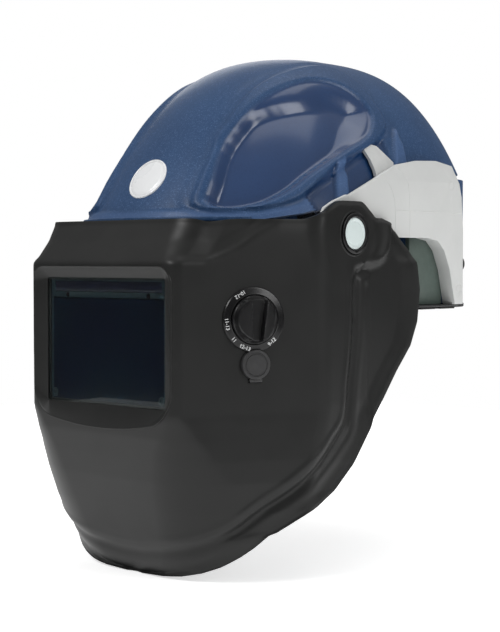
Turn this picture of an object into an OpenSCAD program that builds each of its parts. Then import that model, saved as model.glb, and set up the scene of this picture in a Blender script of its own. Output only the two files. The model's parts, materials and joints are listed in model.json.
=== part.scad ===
// Powered air respirator: a hard-hat dome with a rear blower, a fixed clear visor
// and a flip-up welding shield with an auto-darkening lens.
// Millimetres. +Z is up, the wearer faces -Y, the wearer's left hand is +X.
// The origin is on the head's centre plane, level with the headband and
// straight below the shield's pivot axis.

/* [Dome] */
// Front of the dome, measured forward of the pivot
dome_front = 101; // [95:1:105]
// Rear of the dome, measured behind the pivot
dome_rear = 193; // [185:1:198]
// Half of the dome's width
dome_half = 116; // [112:1:116]
// Height of the dome above its brow
dome_rise = 125; // [120:1:130]
// Wall of the dome
dome_wall = 3; // [2:0.5:4]
// Depth of the dish in each side of the dome
dish_depth = 6; // [0:1:7]

/* [Shield] */
// Height of the pivot axis above the headband
pivot_z = 25; // [25:1:25]
// Distance from the pivot plane to the shield's flat front
shield_front = 127; // [127:1:127]
// Half of the shield's width at the pivots
shield_half = 118.5; // [118.5:0.5:118.5]
// Wall of the shield
shield_wall = 3; // [2.5:0.5:3]
// How far the shield's free edge flares out
edge_flare = 2.5; // [0:0.5:3]

/* [Lens] */
// Width of the lens opening
lens_w = 119; // [110:1:119]
// Height of the lens opening
lens_h = 86; // [80:1:86]
// Height of the middle of the lens
lens_z = -48; // [-48:1:-48]

/* [Controls] */
// Radius of the shade dial
dial_r = 21.5; // [20:0.5:22]
// Radius of the grind button
grind_r = 10; // [9:0.5:10]
// Radius of the shield's release buttons
release_r = 11; // [10:0.5:11]

/* [Headgear] */
// Half of the headband's inner width
band_half = 77; // [74:1:78]
// Height of the headband
band_h = 30; // [26:1:32]

/* [Rear unit] */
// Half of the rear housing's width
unit_half = 98; // [94:1:98]
// Rear face of the housing behind the pivot
unit_rear = 186; // [180:1:186]
// Underside of the housing
unit_floor = -26; // [-26:1:-26]

/* [Hidden] */

fit = 0.06;          // running clearance of a shaft in its bore
dome_mid = 34.7;     // where the dome is widest
dome_base = 32.6;    // height of the dome's brow
dome_lean = 32.7;    // how far the crown leans back
bow_front = 2.13;    // roundness of the dome's plan in front of its middle
bow_rear = 4.84;     // and behind it
bow_up = 2.93;       // roundness of the dome's side view
bow_tip = 1.05;
cover_x = 113;       // outer face of the side covers
wall_angle = 64.5;   // turn from the shield's front to its cheek
boss_r = 20;         // boss around each pivot
hub_r = 14;          // spindle that the shield turns on
lens_top = lens_z + lens_h / 2;
lens_low = lens_z - lens_h / 2;
lens_y = -121.3;     // front of the cover lens

function clamp01(t) = min(1, max(0, t));
function smooth(t) = let (c = clamp01(t)) c * c * (3 - 2 * c);

// ---- plain helpers --------------------------------------------------------

// A block given by its lowest and highest corners
module block(lo, hi) {
    translate(lo) cube([hi[0] - lo[0], hi[1] - lo[1], hi[2] - lo[2]]);
}

// A plate drawn in the side view, from x0 to x1
module side_plate(x0, x1) {
    translate([x0, 0, 0]) rotate([90, 0, 90]) linear_extrude(x1 - x0) children();
}

// A plate drawn in the front view, from y0 back to y1
module front_plate(y0, y1) {
    translate([0, y1, 0]) rotate([90, 0, 0]) linear_extrude(y1 - y0) children();
}

// A round bar along X, on the pivot axis
module pivot_bar(x0, x1, r, facets = 64) {
    translate([x0, 0, pivot_z]) rotate([0, 90, 0]) cylinder(h = x1 - x0, r = r, $fn = facets);
}

// The same part on the wearer's right
module other_side() {
    mirror([1, 0, 0]) children();
}

// Points of an arc in the plan view, angles counted from straight ahead
function plan_arc(rx, ry, mid, a0, a1, n) =
    [for (i = [0:n]) let (a = a0 + (a1 - a0) * i / n) [rx * sin(a), mid - ry * cos(a)]];

// A closed strip between two plan curves
module plan_strip(outer, inner) {
    polygon(concat(outer, [for (i = [len(inner) - 1:-1:0]) inner[i]]));
}

// A rectangle with cut corners, given by its lowest and highest corners
module cut_rect(lo, hi, c) {
    polygon([
        [lo[0] + c, lo[1]], [hi[0] - c, lo[1]], [hi[0], lo[1] + c], [hi[0], hi[1] - c],
        [hi[0] - c, hi[1]], [lo[0] + c, hi[1]], [lo[0], hi[1] - c], [lo[0], lo[1] + c]
    ]);
}

// A shell from two grids of points with the same rows and columns:
// open rows, whose four edges are closed by walls
module shell_from_grids(outer, inner) {
    rows = len(outer);
    cols = len(outer[0]);
    all_points = [for (g = [outer, inner]) for (r = g) for (p = r) p];
    second = rows * cols;
    faces = concat(
        [for (i = [0:rows - 2]) for (j = [0:cols - 2]) let (a = i * cols + j)
            for (f = [[a, a + 1, a + cols + 1], [a, a + cols + 1, a + cols]]) f],
        [for (i = [0:rows - 2]) for (j = [0:cols - 2]) let (a = second + i * cols + j)
            for (f = [[a, a + cols + 1, a + 1], [a, a + cols, a + cols + 1]]) f],
        [for (j = [0:cols - 2]) for (f = [[j, second + j, second + j + 1], [j, second + j + 1, j + 1]]) f],
        [for (j = [0:cols - 2]) let (a = (rows - 1) * cols + j)
            for (f = [[a, a + 1, second + a + 1], [a, second + a + 1, second + a]]) f],
        [for (i = [0:rows - 2]) let (a = i * cols, b = a + cols)
            for (f = [[a, b, second + b], [a, second + b, second + a]]) f],
        [for (i = [0:rows - 2]) let (a = i * cols + cols - 1, b = a + cols)
            for (f = [[a, second + b, b], [a, second + a, second + b]]) f]
    );
    polyhedron(all_points, faces, convexity = 6);
}

// A band of height h and thickness t whose middle line follows a path in space
module ribbon(path, t, h) {
    n = len(path);
    sides = [for (i = [0:n - 1])
        let (d = path[min(i + 1, n - 1)] - path[max(i - 1, 0)], l = norm([d[0], d[1]]))
        [d[1] / l, -d[0] / l, 0]];
    shell_from_grids(
        [for (i = [0:n - 1]) for (p = [path[i] + sides[i] * t / 2]) [p - [0, 0, h / 2], p + [0, 0, h / 2]]],
        [for (i = [0:n - 1]) for (p = [path[i] - sides[i] * t / 2]) [p - [0, 0, h / 2], p + [0, 0, h / 2]]]
    );
}

// ---- dome -----------------------------------------------------------------

// Dish outline in the side view
dish = [[-78, 45], [-71, 60], [-53, 88], [-24, 115], [8, 130], [28, 134], [45, 133],
        [53, 123], [53, 107], [42, 94], [10, 81], [-17, 67], [-36, 55], [-55, 48]];

// Signed distance from a point to a closed outline, positive inside
function edge_gap(p, a, b) = let (t = clamp01(((p - a) * (b - a)) / ((b - a) * (b - a)))) norm(p - a - (b - a) * t);
function crossings(p, o) = [for (i = [0:len(o) - 1]) let (a = o[i], b = o[(i + 1) % len(o)])
    if ((a[1] > p[1]) != (b[1] > p[1]) && p[0] < a[0] + (b[0] - a[0]) * (p[1] - a[1]) / (b[1] - a[1])) 1];
function inside_by(p, o) =
    (len(crossings(p, o)) % 2 == 1 ? 1 : -1) *
    min([for (i = [0:len(o) - 1]) edge_gap(p, o[i], o[(i + 1) % len(o)])]);

// Lower edge of the dome: level at the brow, rising over the side covers
function dome_edge(y) = lookup(y, [[-60, 0], [-30, 11], [0, 18], [60, 32], [98, 40], [200, 40]]);

// Point of the dome at turn a (0 is the rear) and share v of the way from crown to edge
function dome_raw(a, rho, inset) =
    let (
        c = cos(a),
        s = sin(a),
        reach = (c > 0 ? dome_rear - dome_mid : dome_mid + dome_front) - inset,
        n = c > 0 ? bow_rear : bow_front,
        r = pow(pow(abs(s) / (dome_half - inset), n) + pow(abs(c) / reach, n), -1 / n)
    )
    [r * s * rho,
     dome_mid + dome_lean * (1 - rho * rho) + r * c * rho,
     dome_base + (dome_rise - inset) * pow(max(0, 1 - pow(rho, bow_up)), 1 / bow_tip)];

function dome_reach(a) =
    let (rise = dome_edge(dome_raw(a, 0.97, 0)[1]) / dome_rise)
    pow(1 - pow(rise, bow_tip), 1 / bow_up);

// The dish sinks into the side of the dome, behind a raised arch
function dish_sink(p) =
    let (d = inside_by([p[1], p[2]], dish)) -dish_depth * smooth(d / 9) + 2 * smooth((d + 15) / 5) * (1 - smooth(d / 4));

function dome_point(a, v, inset) =
    let (p = dome_raw(a, v * dome_reach(a), inset), m = dish_sink(p))
    [p[0] + sign(p[0]) * m * clamp01(abs(p[0]) / 40), p[1], p[2]];

dome_turns = 72;
dome_rings = [for (i = [0:15]) sin(5 + 85 * i / 15)];
function dome_grid(inset) = [for (v = dome_rings) [for (j = [0:dome_turns - 1]) dome_point(j * 360 / dome_turns, v, inset)]];

// A closed cup from ring grids: outside, inside and the rim between them
module cup(outer, inner) {
    rows = len(outer);
    cols = len(outer[0]);
    second = rows * cols;
    tips = 2 * second;
    top = function(g) [0, g[0][0][1] / 2 + g[0][cols / 2][1] / 2, g[0][0][2] + 0.4];
    all_points = concat([for (g = [outer, inner]) for (r = g) for (p = r) p], [top(outer), top(inner)]);
    faces = concat(
        [for (i = [0:rows - 2]) for (j = [0:cols - 1]) let (k = (j + 1) % cols, a = i * cols)
            for (f = [[a + j, a + cols + k, a + k], [a + j, a + cols + j, a + cols + k]]) f],
        [for (i = [0:rows - 2]) for (j = [0:cols - 1]) let (k = (j + 1) % cols, a = second + i * cols)
            for (f = [[a + j, a + k, a + cols + k], [a + j, a + cols + k, a + cols + j]]) f],
        [for (j = [0:cols - 1]) let (k = (j + 1) % cols, a = (rows - 1) * cols)
            for (f = [[a + j, second + a + k, a + k], [a + j, second + a + j, second + a + k]]) f],
        [for (j = [0:cols - 1]) let (k = (j + 1) % cols) [tips, j, k]],
        [for (j = [0:cols - 1]) let (k = (j + 1) % cols) [tips + 1, second + k, second + j]]
    );
    polyhedron(all_points, faces, convexity = 6);
}

module helmet_shell() {
    color([0.09, 0.19, 0.40]) cup(dome_grid(0), dome_grid(dome_wall));
}

// Rolled trim under the front half of the dome's edge
module brow_trim() {
    path = [for (i = [-8:8]) dome_raw(180 + i * 5, 1, -1.5) + [0, 0, 1.8]];
    color([0.07, 0.14, 0.3]) ribbon(path, 1.8, 3.2);
}

module badge() {
    color("white") intersection() {
        cup(dome_grid(-1.2), dome_grid(-0.02));
        translate([3, -86, 64]) rotate([60, 0, 0]) translate([0, 0, -12]) cylinder(h = 24, r = 16, $fn = 48);
    }
}

// ---- side covers and rear unit -------------------------------------------

cover_top = 80;
cover_outline = [
    [-1, 47], [3, 52], [14, 57], [38, 67], [60, 75], [85, cover_top - 1], [108, cover_top], [127, cover_top - 3],
    [134, 54], [136, 30], [136, unit_floor], [126, unit_floor], [119, 0], [112, 14], [104, 21], [92, 23],
    [40, 23], [18, 4], [-8, 4], [-17, 12], [-17, 36]
];

// A plate whose top leans in over the dome, with returns along its rear and its cut-out
module side_cover() {
    color([0.80, 0.82, 0.83]) difference() {
        union() {
            intersection() {
                side_plate(90, 120) polygon(cover_outline);
                front_plate(-40, 160) polygon([
                    [cover_x, -60], [cover_x, 64], [cover_x - 6, 82], [cover_x - 9, 82], [cover_x - 3, 64], [cover_x - 3, -60]
                ]);
            }
            side_plate(unit_half + 4, cover_x - 3) polygon([[133, 46], [136, 30], [136, unit_floor], [133, unit_floor]]);
            side_plate(unit_half + 4, cover_x - 3) polygon([
                [126, unit_floor], [129, unit_floor], [122, 1], [114, 17], [105, 24], [92, 26],
                [92, 23], [104, 21], [112, 14], [119, 0]
            ]);
        }
        pivot_bar(90, 120, hub_r + 0.05);
        screw_places() cylinder(h = 12, r = 3.05, center = true, $fn = 32);
    }
}

module screw_places() {
    for (z = [62, -14]) translate([cover_x - 3, z > 0 ? 121 : 131, z]) rotate([0, 90, 0]) children();
}

module side_cover_left() { side_cover(); }
module side_cover_right() { other_side() side_cover(); }

module cover_screws() {
    color([0.35, 0.36, 0.38]) for (m = [0, 1]) mirror([m, 0, 0]) screw_places() difference() {
        cylinder(h = 3.3, r = 3, $fn = 32);
        translate([0, 0, 2]) cylinder(h = 2, r = 1.5, $fn = 6);
    }
}

// Dark inner wall seen behind the cut-out of each side cover
module inner_wall() {
    color([0.22, 0.25, 0.24]) for (m = [0, 1]) mirror([m, 0, 0])
        side_plate(unit_half + 0.05, unit_half + 3.9) polygon([[84, 40], [124, 40], [124, unit_floor], [84, unit_floor]]);
}

unit_top = dome_base + 36;

// Plan of the rear unit, grown by g
module unit_plan(g = 0) {
    r = 42;
    corner = [for (i = [0:12]) let (a = 90 - 90 * i / 12) [unit_half - r + (r + g) * sin(90 - a), unit_rear - r + (r + g) * sin(a)]];
    polygon(concat([[-unit_half - g, 112 - g]], [for (i = [0:12]) [-corner[12 - i][0], corner[12 - i][1]]], corner, [[unit_half + g, 112 - g]]));
}

module unit_solid(g = 0) {
    translate([0, 0, unit_floor - g]) linear_extrude(unit_top - unit_floor + g + g) unit_plan(g);
}

module base_tray() {
    color([0.05, 0.05, 0.05]) difference() {
        union() {
            translate([0, 0, unit_floor - 3]) linear_extrude(2.9) unit_plan(1);
            for (m = [0, 1]) mirror([m, 0, 0]) block([unit_half - 1, 84, unit_floor - 1.6], [cover_x - 2, 134, unit_floor - 0.1]);
        }
        translate([62, 150, unit_floor - 5]) cylinder(h = 8, r = 6.05, $fn = 48);
    }
}

module feet() {
    color([0.06, 0.06, 0.06]) for (m = [0, 1]) mirror([m, 0, 0]) {
        block([unit_half + 2, 88, unit_floor - 3.2], [cover_x - 3, 106, unit_floor - 1.65]);
        block([unit_half + 2, 112, unit_floor - 3.2], [cover_x - 3, 130, unit_floor - 1.65]);
    }
}

door_half = 52;
door_low = unit_floor + 5;
door_top = 24;
door_y = unit_rear - 3;

module rear_housing() {
    color([0.09, 0.19, 0.40]) difference() {
        unit_solid();
        difference() {
            translate([0, 0, unit_floor + 3]) linear_extrude(unit_top - unit_floor - 6) unit_plan(-3);
            block([-48, 165.4, unit_floor + 2.9], [48, 181.9, door_low + 1.9]);
        }
        block([-24, 115, unit_top - 5], [-1, 148, unit_top + 5]);
        block([-door_half - 0.5, door_y - 1, door_low - 0.5], [door_half + 0.5, unit_rear + 2, door_top + 0.5]);
        translate([62, 150, unit_floor - 5]) cylinder(h = 12, r = 6.05, $fn = 48);
        translate([74, 150, 4]) rotate([-90, 0, 0]) cylinder(h = 60, r = 7.05, $fn = 48);
    }
}

// Louvred door over the filter, hinged along its lower edge
module filter_door() {
    slots = 6;
    color([0.06, 0.06, 0.07]) {
        difference() {
            union() {
                block([-door_half, door_y - 0.6, door_low + 3], [door_half, unit_rear, door_top - 0.2]);
                translate([-door_half, door_y + 1.3, door_low + 2.2]) rotate([0, 90, 0]) cylinder(h = 2 * door_half, r = 2, $fn = 32);
            }
            for (i = [0:slots - 1])
                block([-40, door_y - 5, door_low + 9 + i * 5.2], [40, unit_rear + 5, door_low + 11.6 + i * 5.2]);
            block([-12.4, door_y - 5, door_top - 5.4], [12.4, unit_rear + 5, door_top + 5]);
        }
    }
}

module door_latch() {
    color([0.1, 0.1, 0.11]) {
        block([-12, door_y - 0.4, door_top - 5], [12, unit_rear + 1.2, door_top - 0.2]);
        block([-8, unit_rear + 1.2, door_top - 3.4], [8, unit_rear + 2.4, door_top - 1.6]);
    }
}

module filter_pack() {
    pleats = 24;
    color([0.93, 0.92, 0.86]) difference() {
        block([-46, 169, door_low + 2], [46, 180, door_top - 2]);
        for (i = [0:pleats - 1]) translate([-43.1 + i * 3.75, 181, 0]) rotate([0, 0, 45]) cube([1.7, 1.7, 90], center = true);
    }
}

module filter_seal() {
    color([0.1, 0.1, 0.1]) front_plate(165.5, 168.9) difference() {
        cut_rect([-48, door_low + 2], [48, door_top - 1], 3);
        cut_rect([-42, door_low + 6], [42, door_top - 6], 3);
    }
}

blower = [0, 139, -4];

module blower_case() {
    color([0.16, 0.16, 0.17]) translate(blower) difference() {
        union() {
            translate([0, 0, -14]) cylinder(h = 28, r = 23, $fn = 64);
            block([-23, -23, -14], [-2, 8, 33.5]);
            difference() {
                translate([0, 0, -18.95]) cylinder(h = 5.5, r = 13, $fn = 48);
                translate([0, 0, -20]) cylinder(h = 8, r = 9, $fn = 48);
            }
        }
        translate([0, 0, -12]) cylinder(h = 24, r = 21, $fn = 64);
        translate([0, 0, 10]) cylinder(h = 5, r = 13, $fn = 48);
        block([-21, -21, -12], [-10, 8, 40]);
        translate([0, 0, -16]) cylinder(h = 5, r = 7, $fn = 48);
    }
}

module impeller() {
    blades = 14;
    color([0.75, 0.77, 0.78]) translate(blower) {
        difference() {
            union() {
                translate([0, 0, -9]) cylinder(h = 1.6, r = 18.5, $fn = 64);
                translate([0, 0, -9]) cylinder(h = 12, r = 6, $fn = 48);
            }
            translate([0, 0, -10]) cylinder(h = 9, r = 1.5 + fit, $fn = 32);
        }
        for (i = [0:blades - 1]) rotate([0, 0, i * 360 / blades]) translate([14.6, 0, -0.6])
            rotate([0, 0, 28]) cube([7, 0.9, 15.8], center = true);
    }
}

module blower_motor() {
    color([0.55, 0.56, 0.58]) translate(blower) {
        translate([0, 0, -18.95]) cylinder(h = 8.35, r = 6.8, $fn = 48);
        translate([0, 0, -10.6]) cylinder(h = 9, r = 1.5, $fn = 32);
    }
}

module battery_pack() {
    color([0.12, 0.12, 0.13]) block([-90, 117, unit_floor + 3.1], [-30, 150, 26]);
}

module control_board() {
    color([0.08, 0.32, 0.18]) {
        block([30, 117, unit_floor + 3.05], [88, 140, unit_floor + 4.65]);
        block([36, 121, unit_floor + 4.6], [50, 133, unit_floor + 7]);
        block([58, 124, unit_floor + 4.6], [66, 132, unit_floor + 9]);
    }
}

module power_button() {
    color([0.1, 0.1, 0.1]) translate([74, 0, 4]) rotate([-90, 0, 0]) {
        translate([0, 0, 171]) cylinder(h = 14.2, r = 7, $fn = 48);
    }
}

// Round low-voltage charging inlet in the floor of the rear unit
module charge_socket() {
    color([0.08, 0.08, 0.08]) difference() {
        union() {
            translate([62, 150, unit_floor - 3]) cylinder(h = 12, r = 6, $fn = 48);
            translate([62, 150, unit_floor + 3.05]) cylinder(h = 6, r = 8, $fn = 48);
        }
        translate([62, 150, unit_floor - 4]) cylinder(h = 10, r = 2.8, $fn = 32);
    }
}

// ---- air path -------------------------------------------------------------

// Middle line of the dome, set in by g: the front and rear halves
function crown_line(g, v0, v1, n) =
    [for (i = [0:n]) let (v = v0 + (v1 - v0) * i / n, p = dome_raw(v < 0 ? 180 : 0, abs(v), g)) [p[1], p[2]]];

module air_duct() {
    color([0.13, 0.13, 0.14]) difference() {
        union() {
            side_plate(-23, 23) plan_strip(crown_line(8, -0.97, 0.84, 30), crown_line(19, -0.97, 0.84, 30));
            block([-23, 116, 29.6], [-2, 147, 108]);
        }
        side_plate(-21, 21) plan_strip(crown_line(10, -0.975, 0.82, 30), crown_line(17, -0.975, 0.82, 30));
        block([-30, -100, 30], [30, -60, 50.1]);
        block([-21, 118, 20], [-4, 145, 118]);
    }
}

module air_diffuser() {
    slots = 9;
    color([0.15, 0.15, 0.16]) difference() {
        front_plate(-84, -71) cut_rect([-30, 38], [30, 50], 3);
        front_plate(-82.5, -72.5) cut_rect([-27, 40], [27, 48], 2);
        block([-20, -82, 45], [20, -74, 55]);
        for (i = [0:slots - 1]) block([-25.5 + i * 5.8, -81, 30], [-22 + i * 5.8, -74, 45]);
    }
}

// ---- headgear -------------------------------------------------------------

band_front = 78;
band_straight = 34;

function band_path(rx, ry, z) = concat(
    [[-rx, band_straight, z]],
    [for (i = [0:24]) let (a = -90 + 180 * i / 24) [rx * sin(a), -ry * cos(a), z]],
    [[rx, band_straight, z]]
);

module headband() {
    color([0.08, 0.08, 0.09]) ribbon(band_path(band_half + 1, band_front + 1, 2), 2, band_h);
}

module sweatband() {
    path = [for (i = [0:18]) let (a = -62 + 124 * i / 18) [(band_half - 3) * sin(a), -(band_front - 3) * cos(a), 2]];
    color([0.16, 0.17, 0.18]) ribbon(path, 5, band_h + 6);
}

// The nape strap leaves the headband's sides and drops behind the head
nape_drop = 50;
nape_arm = band_half + 3.6;
nape_path = concat(
    [[-nape_arm, 16, 0], [-nape_arm, 40, 0]],
    [for (i = [1:23]) let (a = -90 + 180 * i / 24) [nape_arm * sin(a), 46 + 58 * cos(a), -nape_drop * smooth(cos(a) * 1.1)]],
    [[nape_arm, 40, 0], [nape_arm, 16, 0]]
);

module nape_band() {
    color([0.08, 0.08, 0.09]) ribbon(nape_path, 2, 22);
}

module nape_pad() {
    path = [for (i = [8:16]) nape_path[i + 1] + [0, -3.6, 0]];
    color([0.16, 0.17, 0.18]) ribbon(path, 4, 28);
}

ratchet_z = -nape_drop;

module ratchet_case() {
    color([0.1, 0.1, 0.1]) difference() {
        front_plate(105.1, 113) cut_rect([-30, ratchet_z - 12], [30, ratchet_z + 12], 8);
        translate([0, 100, ratchet_z]) rotate([-90, 0, 0]) cylinder(h = 20, r = 4 + fit, $fn = 32);
    }
}

module ratchet_knob() {
    ribs = 18;
    color([0.14, 0.14, 0.15]) translate([0, 0, ratchet_z]) rotate([-90, 0, 0]) {
        translate([0, 0, 106.5]) cylinder(h = 8, r = 4, $fn = 32);
        difference() {
            translate([0, 0, 113.4]) cylinder(h = 11, r = 17, $fn = 64);
            for (i = [0:ribs - 1]) rotate([0, 0, i * 360 / ribs]) translate([17.6, 0, 112]) cylinder(h = 14, r = 1.5, $fn = 16);
        }
    }
}

// A strap over the head, drawn in the front view
module crown_strap(mid, wide, rise) {
    outer = [for (i = [0:24]) let (a = -90 + 180 * i / 24) [(band_half - 0.4) * sin(a), 14 + rise * cos(a)]];
    inner = [for (i = [0:24]) let (a = -90 + 180 * i / 24) [(band_half - 1.9) * sin(a), 14 + (rise - 1.6) * cos(a)]];
    front_plate(mid - wide / 2, mid + wide / 2) plan_strip(outer, inner);
}

module crown_strap_front() {
    color([0.10, 0.10, 0.12]) crown_strap(2, 20, 98);
}

module crown_strap_rear() {
    color([0.10, 0.10, 0.12]) crown_strap(23.5, 20, 98);
}

module crown_pad() {
    color([0.16, 0.17, 0.18]) front_plate(-12, 38) plan_strip(
        [for (i = [0:10]) let (a = -28 + 56 * i / 10) [74.9 * sin(a), 14 + 96 * cos(a)]],
        [for (i = [0:10]) let (a = -28 + 56 * i / 10) [70 * sin(a), 14 + 91 * cos(a)]]
    );
}

// Brackets that hang the headband and its straps inside the side covers
module band_hangers() {
    color([0.1, 0.1, 0.11]) for (m = [0, 1]) mirror([m, 0, 0]) {
        block([band_half + 2.05, -12, -4], [band_half + 3, 2, 16]);
        block([band_half + 3, -12, -4], [109.9, 2, 7.5]);
    }
}

// ---- visor ----------------------------------------------------------------

visor_r = 82.5;
visor_mid = -20;

module visor_strip(r, wall, a) {
    plan_strip(plan_arc(r, r, visor_mid, -a, a, 36), plan_arc(r - wall, r - wall, visor_mid, -a, a, 36));
}

module visor() {
    color([0.8, 0.9, 0.95, 0.35]) translate([0, 0, -94]) linear_extrude(122) visor_strip(visor_r, 1.5, 78);
}

module visor_frame() {
    color([0.09, 0.09, 0.1]) {
        difference() {
            translate([0, 0, -99]) linear_extrude(129.5) visor_strip(visor_r + 2, 1.8, 82);
            translate([0, 0, -90]) linear_extrude(110) plan_strip(
                plan_arc(95, 95, visor_mid, -72, 72, 24), plan_arc(70, 70, visor_mid, -72, 72, 24));
        }
        for (m = [0, 1]) mirror([m, 0, 0]) block([82, -33, -4], [84.6, -12.05, 7.5]);
    }
}

// Cloth skirt from the visor frame to the wearer's chin and jaw
module face_seal() {
    rows = 8;
    cols = 32;
    function skirt(i, j, t) =
        let (
            v = i / rows,
            a = -95 + 190 * j / cols,
            rx = visor_r - 20 * v - t,
            ry = visor_r - 12 * v - t
        )
        [rx * sin(a), visor_mid + 10 * v - ry * cos(a), -94.2 - 66 * v];
    color([0.13, 0.15, 0.19]) shell_from_grids(
        [for (i = [0:rows]) [for (j = [0:cols]) skirt(i, j, 0)]],
        [for (i = [0:rows]) [for (j = [0:cols]) skirt(i, j, 1.4)]]
    );
}

// ---- pivots ---------------------------------------------------------------

module hub() {
    color([0.12, 0.12, 0.12]) difference() {
        union() {
            pivot_bar(106, 120, hub_r);
            pivot_bar(107.5, cover_x - 3.05, hub_r + 3);
        }
        pivot_bar(109, 121, release_r + fit);
    }
}

module washer() {
    color([0.45, 0.46, 0.47]) difference() {
        pivot_bar(cover_x + 0.05, cover_x + 2, 20);
        pivot_bar(cover_x - 1, cover_x + 3, hub_r + 0.1);
    }
}

module release() {
    color([0.88, 0.93, 0.92]) difference() {
        pivot_bar(115.5, 119.4, release_r);
        pivot_bar(119, 120, release_r - 2);
    }
}

module release_spring() {
    turns = 3;
    color([0.7, 0.7, 0.72]) for (i = [0:turns - 1])
        translate([109.1 + i * 1.9, 0, pivot_z]) rotate([0, 90, 0]) rotate_extrude($fn = 32) translate([6, 0.5]) circle(r = 0.5, $fn = 16);
}

module hub_left() { hub(); }
module hub_right() { other_side() hub(); }
module washer_left() { washer(); }
module washer_right() { other_side() washer(); }
module release_left() { release(); }
module release_right() { other_side() release(); }
module spring_left() { release_spring(); }
module spring_right() { other_side() release_spring(); }

// ---- welding shield -------------------------------------------------------

// How the shield's plan changes with height: front, corner, corner radius, side
function plan_at(z) = [
    -lookup(z, [[-210, shield_front - 35], [-200, shield_front - 30], [-180, shield_front - 21],
                [-160, shield_front - 14], [-140, shield_front - 7.5], [-125, shield_front - 4],
                [-110, shield_front - 1], [-98, shield_front], [5, shield_front],
                [20, shield_front - 9.5], [37, shield_front - 19]]),
    lookup(z, [[-210, 56], [-200, 62], [-180, 71], [-160, 73], [-140, 73], [-125, 72], [-108, 71], [-90, 72], [5, 72], [20, 71], [37, 72]]),
    lookup(z, [[-210, 50], [-180, 50], [-160, 46], [-140, 36], [-120, 24], [-104, 12], [-90, 10], [5, 10], [20, 20], [37, 30]]),
    shield_half - lookup(z, [[-210, 22], [-190, 12], [-160, 6], [-130, 2], [-104, 0.5], [-90, 0]])
];

// Length along the plan where the cheek straight starts and ends, and its bend
bend_r = 30;
function flat_len(q) = q[1] - q[2] * tan(wall_angle / 2);
function corner_len(q) = q[2] * wall_angle * PI / 180;
function cheek_len(q) = (q[3] - flat_len(q) - q[2] * sin(wall_angle) - bend_r * (1 - sin(wall_angle))) / cos(wall_angle);
function bend_len() = bend_r * (90 - wall_angle) * PI / 180;

// Heading of the plan curve at length s, and its point
function heading(q, s) =
    let (a = s - flat_len(q), b = a - corner_len(q), c = b - cheek_len(q))
    a <= 0 ? 0 : b <= 0 ? a / q[2] * 180 / PI : c <= 0 ? wall_angle : min(90, wall_angle + c / bend_r * 180 / PI);
function plan_point(q, s) =
    let (
        h = heading(q, s),
        h1 = min(h, wall_angle),
        a = min(s, flat_len(q)),
        b = min(max(0, s - flat_len(q) - corner_len(q)), cheek_len(q)),
        d = max(0, s - flat_len(q) - corner_len(q) - cheek_len(q) - bend_len()),
        k = max(h, wall_angle)
    )
    [a + q[2] * sin(h1) + b * cos(wall_angle) + bend_r * (sin(k) - sin(wall_angle)),
     q[0] + q[2] * (1 - cos(h1)) + b * sin(wall_angle) + bend_r * (cos(wall_angle) - cos(k)) + d];

// Length of the plan curve at height z, out to the shield's free edge
function edge_y(z) = lookup(z, [[-190, -87], [-178, -63], [-162, -40], [-149, -17], [-133, 0], [-118, 11],
                                [-103, 22], [-87, 35], [-71, 48], [-54, 64], [-37, 72], [-14, 75], [14, 68], [32, 54], [34, 46]]);
function length_to_y(q, y) =
    let (
        corner_rise = q[2] * (1 - cos(wall_angle)),
        cheek_rise = cheek_len(q) * sin(wall_angle),
        bend_rise = bend_r * cos(wall_angle),
        t = y - q[0]
    )
    t < corner_rise ? flat_len(q) + q[2] * acos(1 - t / q[2]) * PI / 180
    : t < corner_rise + cheek_rise ? flat_len(q) + corner_len(q) + (t - corner_rise) / sin(wall_angle)
    : t < corner_rise + cheek_rise + bend_rise
        ? flat_len(q) + corner_len(q) + cheek_len(q)
          + bend_r * (acos(cos(wall_angle) - (t - corner_rise - cheek_rise) / bend_r) - wall_angle) * PI / 180
    : flat_len(q) + corner_len(q) + cheek_len(q) + bend_len() + t - corner_rise - cheek_rise - bend_rise;
function edge_length(z) = z > -190 ? length_to_y(plan_at(z), edge_y(z))
    : lookup(z, [[-210, 3], [-208.5, 22], [-205, 44], [-199, 64], [-190, length_to_y(plan_at(-190), edge_y(-190))]]);

// The top edge rises over the pivots
function pivot_rise(y, z) = smooth((z + 5) / 40) *
    (13 * smooth((y + 45) / 32) * (1 - smooth((y - 5) / 20)) + 2 * smooth((y - 5) / 20) - 2 * smooth((-80 - y) / 20) * smooth((y + 107) / 9));

// A flat pad around each pivot stands clear of the side covers
function pad_share(y, z) = 1 - smooth((norm([y, z - pivot_z]) - 28) / 14);

function shield_point(z, share, inset) =
    let (
        q = plan_at(z),
        total = edge_length(z),
        s = abs(share) * total,
        h = heading(q, s),
        p = plan_point(q, s),
        out = edge_flare * (1 - smooth((total - s) / 20)) * smooth((30 - z) / 30) - inset,
        m = share < 0 ? -1 : 1,
        y = p[1] - out * cos(h),
        high = z + pivot_rise(p[1], z),
        x = p[0] + out * sin(h),
        pad = y > -60 ? pad_share(y, high) : 0
    )
    [m * (x + pad * (shield_half - inset - x)), y, high];

shield_levels = [34, 28, 20, 12, 5, -15, -35, -55, -75, -95, -104, -112, -120, -128, -136, -144, -152,
                 -160, -168, -176, -183, -190, -195, -200, -204, -207, -209];
shield_cols = 26;
function shield_grid(inset) = [for (k = [0:len(shield_levels) - 1])
    [for (j = [-shield_cols:shield_cols]) shield_point(shield_levels[k], j / shield_cols, inset)]];

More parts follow.
